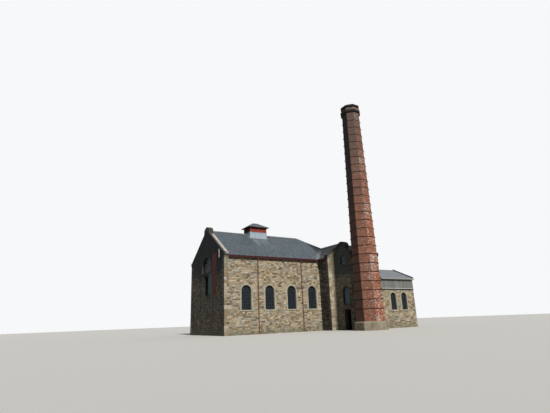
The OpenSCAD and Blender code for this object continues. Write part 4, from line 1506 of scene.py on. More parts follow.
@dataclass(frozen=True)
class Opening:
    """A window or doorway in a face, with its dressed surround."""

    middle: float
    half: float
    sill: float
    spring: float
    round_head: bool = True
    panes: int = 4
    surround: float = 0.21
    sill_height: float = 0.17
    lintel: float = 0.26
    window: bool = True

    def around(self, radius: float, turn: float) -> Pair:
        """Returns a place on a circle about the middle of the round head."""
        return (self.middle + radius * math.cos(turn), self.spring + radius * math.sin(turn))

    def gap(self) -> Gap:
        """Finds the part of the face that the rubble leaves free.

        Returns:
            The part.
        """
        low = self.sill - (self.sill_height if self.window else 0.0)
        return Gap(self.middle, self.half + self.surround, low,
                   self.spring + (0.0 if self.round_head else self.lintel), self.round_head)


@dataclass(frozen=True)
class Facade:
    """One face of the walls, with its outline, openings and corner stones."""

    name: str
    x: float
    y: float
    facing: Facing
    length: float
    top: float
    rise: float = 0.0
    openings: tuple[Opening, ...] = ()
    gaps: tuple[Gap, ...] = ()
    quoins: tuple[bool, bool] = (False, False)
    long_first: bool = True
    dirt: float = 0.0
    stains: tuple[tuple[float, float, float, float, float], ...] = ()
    stain_edge: float = 1.2
    tone: Pair = (0.0, 1.0)
    finish: RubbleFinish = RUBBLE

    @property
    def plane(self) -> Plane:
        """Returns the face that the stones lie on."""
        return Plane.upright(self.x, self.y, self.facing)

    def tint(self, dice: random.Random, s: float, v: float) -> Triple:
        """Rolls the looks of a stone.

        Args:
            dice: Dice of the layer.
            s: Its place along the face.
            v: Its height.

        Returns:
            Its shade, brightness and dirt.
        """
        dirt = self.dirt
        for left, right, low, high, share in self.stains:
            if left < s < right and low < v < high:
                dirt += share * min(1.0, (v - low) / self.stain_edge)
        return (dice.uniform(*self.tone), dice.random(), min(dirt * dice.uniform(0.8, 1.1), 1.0))

    def limits(self, low: float, high: float) -> Run:
        """Finds the part of the face between two heights, up to its rakes.

        Args:
            low: Lower height.
            high: Upper height.

        Returns:
            The stretch.
        """
        levels = (0.0, self.top, self.top + max(self.rise, 1e-3))
        left = np.interp((low, high), levels, (0.0, 0.0, self.length / 2))
        return Run(tuple(left), tuple(self.length - left), low, high)


@dataclass
class StoneWalls:
    """Coursed rubble with quoins, round arches, jambs and sills, over all walls."""

    course_heights: Pair = (0.165, 0.245)
    height: float = 15.0
    long_quoin: float = 0.62
    short_quoin: float = 0.34
    quoin_proud: float = 0.022
    surround_proud: float = 0.035
    sill_proud: tuple[float, ...] = (0.09, 0.09, 0.075, 0.075)
    reveal: float = 0.175
    quoin_joint: float = 0.005
    jamb_height: float = 0.31
    jamb_tooth: float = 0.12
    arch_stone: float = 0.23
    keystone: float = 0.06
    frame_edge: float = 0.06
    pane_height: float = 0.43
    bar: float = 0.028
    bar_depth: Pair = (-0.250, -0.205)
    seed: int = 11

    def __post_init__(self) -> None:
        """Fixes the bed heights that all walls share."""
        dice = random.Random(self.seed)
        self.beds = [0.0]
        while self.beds[-1] < self.height:
            self.beds.append(self.beds[-1] + dice.uniform(*self.course_heights))

    def quoin_length(self, row: int, long_first: bool) -> float:
        """Returns how far the corner stone reaches along a face beside one course."""
        lies_here = (row // 2) % 2 == (0 if long_first else 1)
        return self.long_quoin if lies_here else self.short_quoin

    def face(self, facade: Facade, number: int) -> None:
        """Lays the rubble of one face.

        Args:
            facade: The face.
            number: Number that its dice start from.
        """
        layer = Layer(Cut.PILLOW, seed=self.seed + number)
        bond = RubbleBond(layer.dice)
        gaps = [opening.gap() for opening in facade.openings] + list(facade.gaps)
        crown = facade.top + facade.rise
        for row, (low, high) in enumerate(zip(self.beds, self.beds[1:])):
            if low > crown - 0.06:
                break
            high = min(high, crown if facade.rise else facade.top)
            run = facade.limits(low, high)
            ends = [self.quoin_length(row, facade.long_first)
                    if quoin and high < facade.top + 0.15 else 0.0
                    for quoin in facade.quoins]
            run = Run(tuple(np.array(run.left) + ends[0]),
                      tuple(np.array(run.right) - ends[1]), low, high)
            for part in run.without_all(gaps):
                layer.course(facade.plane, part, row, bond, facade.tint)
        layer.piece(f"{facade.name}_stones", facade.finish, "rubble_stone")

    def corner(self, bench: Bench, x: float, y: float, out: Pair, high: float, dirt: float) -> None:
        """Stacks the corner stones of one corner.

        Args:
            bench: Mesh that they join.
            x: Plan place of the corner.
            y: The same, towards the back.
            out: Signs of the outward directions along X and Y.
            high: Height where they end.
            dirt: Dirt on them; below zero it makes them paler than clean stone.
        """
        dice = random.Random(round(x * 31 + y * 17))
        joint = self.quoin_joint
        for row in range(0, len(self.beds) - 2, 2):
            foot, head = self.beds[row], min(self.beds[row + 2], high)
            if foot > high - 0.08:
                break
            sizes = self.quoin_length(row, True), self.quoin_length(row, False)
            ends = []
            for place, sign, size in ((x, out[0], sizes[0]), (y, out[1], sizes[1])):
                face = place + sign * self.quoin_proud
                ends.append(sorted((face, place - sign * (size - joint))))
            coat = max(dirt * dice.uniform(0.6, 1.1) + 0.13 * max(0.0, foot - 7.4), 0.0)
            bench.box(
                (ends[0][0], ends[1][0], foot + joint), (ends[0][1], ends[1][1], head - joint),
                (dice.random(), dice.random(), coat))

    def surround(self, layer: Layer, facade: Facade, opening: Opening) -> None:
        """Lays the arch, the jambs and the sill of one opening.

        Args:
            layer: Layer that they join.
            facade: Face that it is in.
            opening: The opening.
        """
        dice, plane = layer.dice, facade.plane
        inner, outer = opening.half, opening.half + opening.surround
        proud = (self.surround_proud,) * 4

        def tint() -> Triple:
            """Returns chance values for one stone."""
            # On the walls that look left this carries their painted shade.
            return dice.random(), dice.random(), min(facade.dirt * 1.32, 1.0)

        count = max(3, round((opening.spring - opening.sill) / self.jamb_height))
        heights = np.linspace(opening.sill, opening.spring, count + 1)
        for side in (-1, 1):
            for row, (low, high) in enumerate(zip(heights, heights[1:])):
                wide = self.jamb_tooth if (row + (side > 0)) % 2 else 0.0
                near = opening.middle + side * inner
                far = opening.middle + side * (outer + wide)
                left, right = sorted((near, far))
                layer.lay(plane, quad(left, low, right, high), proud, tint())
        if opening.round_head:
            pieces = round(math.pi * (inner + 0.1) / self.arch_stone) // 2 * 2 + 1
            turns = np.linspace(math.pi, 0.0, pieces + 1)
            for number, (first, last) in enumerate(zip(turns, turns[1:])):
                key = self.keystone if number == pieces // 2 else 0.0
                spots = [opening.around(radius, turn) for turn, radius in (
                    (first, inner), (last, inner), (last, outer + key), (first, outer + key))]
                layer.lay(plane, spots, proud, tint())
        else:
            left, right = opening.middle - outer - 0.06, opening.middle + outer + 0.06
            layer.lay(plane, quad(left, opening.spring, right,
                                  opening.spring + opening.lintel), proud, tint())
        if opening.window:
            left, right = opening.middle - outer, opening.middle + outer
            foot = opening.sill - opening.sill_height
            layer.lay(plane, quad(left, foot, right, opening.sill), self.sill_proud, tint())

    def bars(self, bench: Bench, facade: Facade, opening: Opening) -> None:
        """Adds the glazing bars of one window.

        Args:
            bench: Mesh that they join.
            facade: Face that the window is in.
            opening: The window.
        """
        edge, thick, depth, plane = self.frame_edge, self.bar, self.bar_depth, facade.plane
        clear = opening.half - edge
        step = 2 * clear / opening.panes
        for number in range(1, opening.panes):
            s = opening.middle - clear + number * step
            head = opening.spring - (0.0 if opening.round_head else edge)
            bench.bar(plane, (s, opening.sill + edge), (s, head), thick, depth)
        rows = max(1, round((opening.spring - opening.sill) / self.pane_height))
        for v in np.linspace(opening.sill, opening.spring, rows + 1)[1:]:
            wide = thick * (1.6 if v == opening.spring and opening.round_head else 1.0)
            if v < opening.spring or opening.round_head:
                bench.bar(plane, (opening.middle - clear, v),
                          (opening.middle + clear, v), wide, depth)
        if opening.round_head:
            hub = clear * 0.45
            for turn in np.radians((30, 60, 90, 120, 150)):
                bench.bar(plane, opening.around(hub, turn),
                          opening.around(clear, turn), thick, depth)
            turns = np.linspace(0.0, math.pi, 11)
            for first, last in zip(turns, turns[1:]):
                bench.bar(plane, opening.around(hub, first),
                          opening.around(hub, last), thick, depth)

    def build(self, facades: Iterable[Facade]) -> None:
        """Builds the walls.

        Args:
            facades: Their faces.
        """
        dressed = Layer(
            Cut.TOOLED, seed=self.seed, joint=0.008, inset=0.010, back=self.reveal, ragged=0.001)
        bars, quoins = Bench(), Bench()
        for number, facade in enumerate(facades):
            self.face(facade, number)
            for opening in facade.openings:
                self.surround(dressed, facade, opening)
                if opening.window:
                    self.bars(bars, facade, opening)
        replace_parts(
            dressed.piece("dressed_surrounds", DRESSED, "dressed_stone"), "window_surrounds")
        for corner in CORNERS:
            self.corner(quoins, *corner)
        quoins.piece("corner_stones", QUOINS, "dressed_stone", bevel=0.014)
        bars.piece("glazing_bars", WINDOW_PAINT, "window_paint")


def window(middle: float) -> Opening:
    """Returns one of the tall windows that the hall and the bay share."""
    return Opening(middle, 0.715, 3.08, 5.555)


FRONT_LIGHTS = tuple(map(window, (3.17, 6.74, 10.31, 13.88)))
REAR_LIGHTS = tuple(window(HALL_RIGHT - x) for x in (3.17, 6.74, 10.31, 13.88, 17.45))
END_LIGHTS = tuple(window(y - BAY_FRONT) for y in (4.67, 8.24))
RANGE_LIGHTS = tuple(Opening(s, 0.55, 2.5, 4.4) for s in (2.25, 4.49))
BAY_LIGHT = Opening(1.82, 0.45, 8.95, 9.95, panes=2)

FACADES = (
    Facade("front", 0.0, 0.0, Facing.FRONT, WING_LEFT, EAVES,
           openings=FRONT_LIGHTS, quoins=(True, False)),
    # This wall looks left: its dirt is mostly painted shade, with some soot, and its stains make it
    # darker towards the top.
    Facade("rope_gable", 0.0, HALL_REAR, Facing.LEFT, HALL_REAR, 10.33,
           rise=4.28, openings=(Opening(6.13, 1.65, 8.5, 9.0, panes=8),),
           gaps=(Gap(6.13, 0.80, 5.2, 8.15), Gap(9.01, 0.70, 5.2, 10.9)),
           quoins=(True, True), long_first=False, dirt=0.76,
           stains=((9.8, 10.5, 7.0, 11.2, 0.3), (0.0, 12.3, 7.0, 15.0, 0.45)),
           stain_edge=3.2, finish=SOOTY_SHADED_RUBBLE),
    Facade("rear", HALL_RIGHT, HALL_REAR, Facing.REAR, HALL_RIGHT, EAVES,
           openings=REAR_LIGHTS, quoins=(True, True)),
    Facade("end", HALL_RIGHT, BAY_FRONT, Facing.RIGHT, 18.12, EAVES,
           openings=END_LIGHTS + (BAY_LIGHT,),
           quoins=(False, True), long_first=False),
    # This wall looks left: its dirt is mostly painted shade, with some soot.
    Facade("wing_side", WING_LEFT, 0.0, Facing.LEFT, 2.22, EAVES,
           quoins=(False, True), long_first=False, dirt=0.89, finish=SOOTY_SHADED_RUBBLE),
    Facade("wing_gable", WING_LEFT, WING_FRONT, Facing.FRONT, 6.48, 10.33,
           rise=2.26, gaps=(Gap(3.87, 2.65, 0.0, 9.9),), quoins=(True, False),
           stains=((0.0, 6.48, 7.0, 13.0, 0.32), (0.0, 6.48, 8.5, 13.0, 0.34)),
           tone=(0.35, 0.80), finish=MOSSY_RUBBLE),
    # This wall looks left: its dirt is painted shade, and its stains make it darker towards the
    # top.
    Facade("bay_left", BAY_LEFT, WING_FRONT, Facing.LEFT, 3.64, 10.34,
           rise=1.41, openings=(Opening(2.08, 0.62, 3.4, 5.23),
                                Opening(2.08, 0.62, 0.0, 2.75, False, window=False),
                                BAY_LIGHT),
           quoins=(False, True), long_first=False, dirt=0.56,
           stains=((0.0, 3.7, 6.8, 12.0, 0.60),), finish=SHADED_GREY_RUBBLE),
    Facade("bay_front", BAY_LEFT, BAY_FRONT, Facing.FRONT, 5.26, EAVES,
           openings=(window(2.63),), quoins=(True, False)),
    Facade("range_front", HALL_RIGHT, BAY_FRONT, Facing.FRONT, 6.74, 5.44,
           openings=RANGE_LIGHTS,
           quoins=(False, True)),
    Facade("bay_right", HALL_RIGHT, BAY_FRONT, Facing.RIGHT, 3.64, 10.34,
           rise=1.41, gaps=(Gap(1.82, 1.90, 0.0, EAVES), Gap(1.82, 0.66, 8.78, 9.95, True))),
    Facade("range_end", RANGE_RIGHT, BAY_FRONT, Facing.RIGHT, 6.96, 7.02,
           rise=1.53, quoins=(True, True), long_first=False),
    Facade("range_rear", RANGE_RIGHT, RANGE_REAR, Facing.REAR, 6.74, 5.44,
           openings=RANGE_LIGHTS,
           quoins=(True, False)),
)

CORNERS = (
    (0.0, 0.0, (-1, -1), EAVES, 0.12),
    (0.0, HALL_REAR, (-1, 1), EAVES, 0.3),
    (HALL_RIGHT, HALL_REAR, (1, 1), EAVES, 0.1),
    (WING_LEFT, WING_FRONT, (-1, -1), EAVES, 0.0),
    # The bay's corner stones are paler than clean: painted light for the sunlit edge of the bay's
    # front.
    (BAY_LEFT, BAY_FRONT, (-1, -1), EAVES, -0.2),
    (RANGE_RIGHT, BAY_FRONT, (1, -1), 7.0, 0.22),
    (RANGE_RIGHT, RANGE_REAR, (1, 1), 7.0, 0.1),
)


@dataclass(frozen=True)
class Slope:
    """One slated slope: its lower edge, its turn, and its sides at each height."""

    x: float
    y: float
    facing: float
    pitch: float
    foot: float
    heights: tuple[float, ...]
    left: tuple[float, ...]
    right: tuple[float, ...]
    gaps: tuple[Gap, ...] = ()
    dark: float = 0.0
    painted_shadow_past: float = -99.0

    @property
    def plane(self) -> Plane:
        """Returns the face of the slope, from the wall face upwards."""
        turn, lean = math.radians(self.facing), math.radians(self.pitch)
        up = (-math.sin(turn) * math.cos(lean), math.cos(turn) * math.cos(lean), math.sin(lean))
        place = CORNER + np.array([self.x, self.y, self.foot])
        return Plane(tuple(place), (math.cos(turn), math.sin(turn), 0.0), up)

    def run(self, low: float, high: float) -> Run:
        """Finds the part of the slope that one row covers.

        Args:
            low: Lower edge of the row, up the slope from the wall face.
            high: Its upper edge.

        Returns:
            The stretch.
        """
        levels = np.array(self.heights) / math.cos(math.radians(self.pitch))
        return Run(tuple(np.interp((low, high), levels, self.left)),
                   tuple(np.interp((low, high), levels, self.right)), low, high)

    def shade(self, s: float) -> float:
        """Returns how much darker the slates are at one place along the slope, as painted shade."""
        return self.dark if s > self.painted_shadow_past else 0.0


@dataclass
class SlateRoof:
    """Slates in half-bond on the slopes, with the lead that finishes their edges."""

    gauge: float = 0.22
    width: float = 0.26
    lap: float = 0.03
    eaves: float = 0.19
    slopes: tuple[Slope, ...] = (
        # Past X 16.8 the slates are darker: a painted shadow beside the valley.
        Slope(0.0, 0.0, Facing.FRONT, HALL_PITCH, SLATE_FOOT, (-0.16, 0.0, 3.24, 6.08),
              (0.62,) * 4, (15.16, 15.30, 18.50, 15.88),
              (Gap(8.05, 1.45, 6.23, 9.0),), dark=0.52, painted_shadow_past=16.8),
        Slope(HALL_RIGHT, HALL_REAR, Facing.REAR, HALL_PITCH, SLATE_FOOT, (-0.16, 6.08),
              (-0.05, 6.05), (21.24, 21.24), (Gap(13.81, 1.45, 6.23, 9.0),)),
        Slope(HALL_RIGHT, 0.0, Facing.RIGHT, HALL_PITCH, SLATE_FOOT, (-0.16, 3.24, 3.25, 6.0),
              (-1.60, -1.60, 3.28, 6.08), (12.31, 9.1, 9.09, 6.18)),
        # The wing's slope that looks left is darker all over: painted shade.
        Slope(WING_LEFT, 0.0, Facing.LEFT, HALL_PITCH, SLATE_FOOT, (-0.16, 0.0, 3.20),
              (0.10, 0.08, -3.12), (1.60,) * 3, dark=0.52),
        Slope(BAY_LEFT, BAY_FRONT, Facing.FRONT, BAY_PITCH, BAY_SLATE_FOOT,
              (-0.16, 1.78), (0.62,) * 2, (4.64,) * 2),
        Slope(HALL_RIGHT, WING_FRONT, Facing.REAR, BAY_PITCH, BAY_SLATE_FOOT,
              (-0.02, 1.78), (0.62,) * 2, (4.64,) * 2),
        Slope(6.25, 4.75, Facing.FRONT, VENT_PITCH, VENT_EAVES,
              (0.0, 1.36), (0.02, 1.38), (3.58, 2.22)),
        Slope(9.85, 4.75, Facing.RIGHT, VENT_PITCH, VENT_EAVES,
              (0.0, 1.36), (0.02, 1.38), (2.74, 1.38)),
        Slope(9.85, 7.51, Facing.REAR, VENT_PITCH, VENT_EAVES,
              (0.0, 1.36), (0.02, 1.38), (3.58, 2.22)),
        Slope(6.25, 7.51, Facing.LEFT, VENT_PITCH, VENT_EAVES,
              (0.0, 1.36), (0.02, 1.38), (2.74, 1.38)),
    )

    @staticmethod
    def tint(dice: random.Random, dark: float) -> Triple:
        """Returns the shade, brightness and moss of a slate, its brightness lowered by painted
        shade.
        """
        return dice.random(), dice.uniform(0.42, 0.68) - dark, dice.random() ** 3 * 0.6

    def build(self) -> None:
        """Lays all slates."""
        layer = Layer(Cut.PLAIN, seed=5, joint=0.004, inset=0.002, back=0.004, ragged=0.004)
        bond = EvenBond(self.width)
        for slope in self.slopes:
            start = slope.heights[0] / math.cos(math.radians(slope.pitch))
            end = slope.heights[-1] / math.cos(math.radians(slope.pitch))
            rows = round((end - start) / self.gauge)
            gauge = (end - start) / rows
            for row in range(rows):
                low = start + row * gauge
                run = slope.run(low, min(low + gauge + self.lap, end))
                for part in run.without_all(slope.gaps):
                    layer.course(
                        slope.plane, part, row, bond, lambda dice, s,
                        v: self.tint(dice, slope.shade(s)), shortest=0.09, slope=(0.018, 0.006))
        layer.piece("roof_slates", SLATES, "slate")


@dataclass
class Chimney:
    """The tapering brick octagon with its iron bands, stone foot and corbelled head."""

    x: float = 17.18
    y: float = -7.94
    foot: float = 1.10
    shaft_top: float = 30.9
    flat_at_ground: float = 1.84
    flat_loss: float = 0.62
    course: float = 0.0865
    stretcher: float = 0.235
    proud: float = 0.006
    plinth_flat: float = 2.08
    plinth_body: float = 0.94
    head_high: float = 32.2
    corbel: float = 0.09
    string: Pair = (0.20, 0.30)
    crown: Pair = (0.115, 0.29)
    band_first: float = 2.6
    band_step: float = 1.17
    band_height: float = 0.11
    bands: int = 24
    # Sides 5 and 6, which look left, are darkened most: painted shade, with some soot.
    soot_and_shade: dict[int, Pair] = field(default_factory=lambda: {
        6: (0.62, 0.98), 5: (0.50, 0.90), 7: (0.02, 0.10), 0: (0.06, 0.16)})
    spalled: dict[int, Pair] = field(default_factory=lambda: {
        7: (0.02, 0.46), 0: (0.68, 0.20), 1: (0.30, 0.50)})
    spalls: tuple[Pair, ...] = (
        (0.0, 0.6), (3.0, 1.0), (12.5, 1.0), (14.5, 0.75), (18.0, 0.65), (22.0, 0.55),
        (22.8, 1.0), (24.6, 0.9), (25.3, 0.45), (29.3, 0.40), (29.8, 1.2), (31.0, 1.2))

    def flat(self, z: float) -> float:
        """Returns how far the faces are from the middle at one height."""
        return self.flat_at_ground - self.flat_loss * z / self.shaft_top

    def side(self, number: int, flat: float, low: float, batter: float = 0.0) -> Plane:
        """Places one side of the octagon.

        Args:
            number: Its number, from the front towards the right.
            flat: How far it is from the middle at its foot.
            low: Height of its foot.
            batter: How far it leans in over each metre of height.

        Returns:
            Its face.
        """
        facing = 45.0 * number
        turn = math.radians(facing)
        return Plane.upright(self.x + math.sin(turn) * flat,
                             self.y - math.cos(turn) * flat, facing, z=low, batter=batter)

    def ring(self, layer: Layer, low: float, high: float, flats: Pair, rows: int,
             bond: Bond, tinting: Callable[[int, float], Tinting],
             sides: Iterable[int] = range(8)) -> None:
        """Lays courses round the octagon between two heights.

        Args:
            layer: Layer that they join.
            low: Lower height.
            high: Upper height.
            flats: How far the faces are from the middle at each.
            rows: Number of courses.
            bond: How their joints are placed.
            tinting: Gives the tinting of a side, from its number and the lower height.
            sides: Which of the eight sides, from the front towards the right.
        """
        narrow = math.tan(math.radians(22.5))
        batter = (flats[0] - flats[1]) / (high - low)
        stretch = math.hypot(1.0, batter)
        beds = np.linspace(0.0, (high - low) * stretch, rows + 1)
        halves = np.linspace(flats[0], flats[1], rows + 1) * narrow
        for side in sides:
            plane = self.side(side, flats[0], low, batter)
            for row in range(rows):
                run = Run((-halves[row], -halves[row + 1]),
                          (halves[row], halves[row + 1]), beds[row], beds[row + 1])
                layer.course(plane, run, row + side, bond, tinting(side, low), shortest=0.07)

    def brick(self, side: int, foot: float) -> Tinting:
        """Makes the rule for the shades of the bricks of one side.

        Args:
            side: Its number.
            foot: Height from which v is measured.

        Returns:
            The rule.
        """
        tones = random.Random(side)
        stretches = [tones.uniform(-0.22, 0.22) for _ in range(self.bands + 3)]

        def rule(dice: random.Random, s: float, v: float) -> Triple:
            """Rolls the looks of a brick.

            Args:
                dice: Dice of the layer.
                s: Its place along the side.
                v: Its height over the foot.

            Returns:
                Its shade, brightness and dirt.
            """
            z = foot + v
            stretch = int(max(0.0, (z - self.band_first) / self.band_step + 1.0))
            patch = 0.5 + 0.5 * math.sin(z * 1.3 + side * 2.0) * math.cos(z * 0.41 + s)
            aside = min(max(0.5 + s / 1.3, 0.0), 1.0) ** 2
            near, far = self.spalled.get(side, (0.03, 0.03))
            lost = (near + (far - near) * aside) * patch
            lost *= float(np.interp(z, *zip(*self.spalls)))
            pale = dice.random() < lost
            shade = dice.uniform(0.93, 1.0) if pale else dice.random() * 0.88
            bright = dice.random() * 0.6 + 0.2 + stretches[stretch]
            # Darker up the shaft, and much darker on the sides that look left: painted shade.
            coat = float(np.interp(z, (8.0, 27.0), self.soot_and_shade.get(side, (0.0, 0.0))))
            return shade, bright, coat + dice.random() * 0.08

        return rule

    def shaft(self) -> None:
        """Lays the bricks of the shaft, in two pieces."""
        bond = EvenBond(self.stretcher, headers_every=4)
        rows = round((self.shaft_top - self.foot) / self.course)
        for name, sides in (("front", (7, 0, 1, 2)), ("back", (3, 4, 5, 6))):
            layer = Layer(
                Cut.PLAIN, seed=21 + sides[0], joint=0.010, inset=0.003, back=0.006,
                proud=(self.proud - 0.003, self.proud + 0.003), ragged=0.0015)
            self.ring(
                layer, self.foot, self.shaft_top,
                (self.flat(self.foot), self.flat(self.shaft_top)), rows, bond, self.brick, sides)
            layer.piece(f"shaft_bricks_{name}", BRICK, "chimney_brick")

    def head(self) -> None:
        """Lays the bricks of the corbelled string, the frieze and the crown."""
        layer = Layer(Cut.PLAIN, seed=31, joint=0.010, inset=0.004, back=0.006,
                      proud=(0.003, 0.007), ragged=0.002)
        bond = EvenBond(self.stretcher, headers_every=2)
        neck = self.flat(self.shaft_top)
        string_high = self.shaft_top + self.string[1] + 2 * self.corbel
        crown_low = self.head_high - self.crown[1] - 2 * self.corbel

        def coat(dirt: float) -> Callable[[int, float], Tinting]:
            """Returns the tinting of sides that are darkened evenly by a given amount."""
            return lambda side, foot: lambda dice, s, v: (
                dice.random() * 0.88, dice.random(), dirt + dice.random() * 0.1)

        self.ring(layer, string_high, crown_low, (neck, neck), 4, bond, coat(0.0))
        for low, (reach, height), dirt in ((self.shaft_top, self.string, 0.84),
                                           (crown_low, self.crown, 0.95)):
            wide, start = neck + reach, low + self.corbel
            self.ring(layer, low, start, (neck, wide), 1, bond, coat(dirt))
            self.ring(layer, start, start + height, (wide, wide), 3, bond, coat(dirt))
            self.ring(layer, start + height, start + height + self.corbel,
                      (wide, neck), 1, bond, coat(dirt))
        layer.piece("head_bricks", HEAD_BRICK, "chimney_brick")

    def plinth(self) -> None:
        """Lays the ashlar of the foot and its weathered top course."""
        layer = Layer(Cut.TOOLED, seed=33, joint=0.008, inset=0.012, back=0.01,
                      proud=(0.014, 0.020), ragged=0.001)

        def rule(side: int, foot: float) -> Tinting:
            """Returns the tinting of the stones of one side."""
            # Sides 5 and 6, which look left, are darkened: painted shade.
            left_shade = 0.35 if side in (5, 6) else 0.0
            return lambda dice, s, v: (dice.random(), dice.random(), left_shade + 0.2 * dice.random())

        bond = EvenBond(0.62)
        self.ring(layer, 0.0, self.plinth_body, (self.plinth_flat,) * 2, 3, bond, rule)
        self.ring(layer, self.plinth_body, self.foot,
                  (self.plinth_flat, self.flat(self.foot)), 1, bond, rule)
        layer.piece("plinth_ashlar", PLINTH, "plinth_stone")

    def clamps(self) -> None:
        """Bolts the ends of each band together on two opposite sides."""
        bench = Bench()
        for number in range(self.bands):
            low = self.band_first + number * self.band_step
            flat = self.flat(low) + 0.016
            for side in (1, 5):
                plane = self.side(side, flat, low)
                for s in (-0.045, 0.045):
                    bench.bar(plane, (s, 0.0), (s, self.band_height), 0.022, (-0.004, 0.105))
                for v in (0.03, 0.08):
                    bench.pin(plane, (-0.085, v, 0.06), (0.085, v, 0.06), 0.011)
        bench.piece("band_clamps", BAND_IRON, "band_iron")

    def build(self) -> None:
        """Builds the chimney's brickwork, ashlar and clamps."""
        self.shaft()
        self.head()
        self.plinth()
        self.clamps()


@dataclass
class Ventilator:
    """Boards, drip ledge, lead apron and hips of the louvred ventilator."""

    left: float = 6.60
    right: float = 9.50
    front: float = 5.10
    rear: float = 7.16
    sill: float = 14.842
    board: float = 0.145
    corner_width: float = 0.10
    corner_stand: float = 0.02
    ledge_out: float = 0.055
    ledge_depth: float = 0.035
    eaves: float = VENT_EAVES
    overhang: float = 0.35
    pitch: float = VENT_PITCH
    roof_slope: float = math.tan(math.radians(HALL_PITCH))
    slate_foot: float = SLATE_FOOT
    hall_depth: float = HALL_REAR

    def slate_height(self, y: float) -> float:
        """Returns the height of the slates of the hall at one place across it."""
        return self.slate_foot + self.roof_slope * min(y, self.hall_depth - y)

    def boards(self) -> None:
        """Lays upright boards on the four sides of the base."""
        layer = Layer(Cut.PLAIN, seed=41, joint=0.006, inset=0.004, back=0.002,
                      proud=(0.008, 0.012), ragged=0.0)
        wide, deep = self.right - self.left, self.rear - self.front
        sides = (
            (Plane.upright(self.left, self.front, Facing.FRONT), wide, lambda s: self.front),
            (Plane.upright(self.right, self.front, Facing.RIGHT), deep, lambda s: self.front + s),
            (Plane.upright(self.right, self.rear, Facing.REAR), wide, lambda s: self.rear),
            (Plane.upright(self.left, self.rear, Facing.LEFT), deep, lambda s: self.rear - s),
        )
        for plane, length, across in sides:
            count = round(length / self.board)
            edges = np.linspace(0.0, length, count + 1)
            for left, right in zip(edges, edges[1:]):
                feet = [self.slate_height(across(s)) - 0.01 for s in (left, right)]
                layer.lay(plane, ((left, feet[0]), (right, feet[1]),
                                  (right, self.sill), (left, self.sill)), None,
                          (layer.dice.random() ** 2, 0.5, 0.0))
        layer.piece("ventilator_boards", WHITE_BOARDS, "white_boards")

    def ledge(self) -> None:
        """Sets the corner boards and the drip ledge between base and louvres."""
        bench = Bench()
        for x, out_x in ((self.left, -1), (self.right, 1)):
            for y, out_y in ((self.front, -1), (self.rear, 1)):
                spans = [sorted((place + self.corner_stand * out, place - self.corner_width * out))
                         for place, out in ((x, out_x), (y, out_y))]
                low, high = zip(*spans)
                bench.box((*low, self.slate_height(y) - 0.01), (*high, self.sill), (0.1, 0.5, 0.0))
        edge, lap = self.ledge_out, self.corner_stand
        for low, high in (
            ((self.left - edge, self.front - edge), (self.right + edge, self.front + lap)),
            ((self.left - edge, self.rear - lap), (self.right + edge, self.rear + edge)),
            ((self.left - edge, self.front + lap), (self.left + lap, self.rear - lap)),
            ((self.right - lap, self.front + lap), (self.right + edge, self.rear - lap)),
        ):
            bench.box((*low, self.sill - self.ledge_depth), (*high, self.sill + 0.004),
                      (0.0, 0.5, 0.0))
        bench.piece("ventilator_trim", WHITE_BOARDS, "white_boards", bevel=0.005)

    def lead(self) -> None:
        """Dresses the lead apron on the slates and the rolls on the hips."""
        bench = Bench()
        for facing, x, y in ((Facing.FRONT, self.left, self.front),
                             (Facing.REAR, self.right, self.rear)):
            slope = Slope(x, y, facing, HALL_PITCH, self.slate_height(self.front),
                          (0.0,), (0.0,), (0.0,))
            wide = self.right - self.left
            bench.bar(slope.plane, (-0.14, -0.075), (wide + 0.14, -0.075), 0.19, (0.012, 0.026))
            rise = (self.rear - self.front) / 2 / math.cos(math.radians(HALL_PITCH))
            for s in (-0.07, wide + 0.07):
                bench.bar(slope.plane, (s, -0.15), (s, rise), 0.15, (0.014, 0.028))
        reach = (self.rear - self.front) / 2 + self.overhang
        top = self.eaves + reach * math.tan(math.radians(self.pitch))
        middle = (self.front + self.rear) / 2
        low_x, high_x = self.left - self.overhang, self.right + self.overhang
        ends = [CORNER + np.array([x, middle, top]) for x in (low_x + reach, high_x - reach)]
        bench.rod(ends[0], ends[1], 0.05, sides=10)
        for x, end in ((low_x, ends[0]), (high_x, ends[1])):
            for y in (middle - reach, middle + reach):
                bench.rod(CORNER + np.array([x, y, self.eaves + 0.01]), end, 0.035, sides=10)
        bench.piece("ventilator_lead", LEAD, "lead", bevel=0.0)

    def build(self) -> None:
        """Builds the dressing of the ventilator."""
        self.boards()
        self.ledge()
        self.lead()


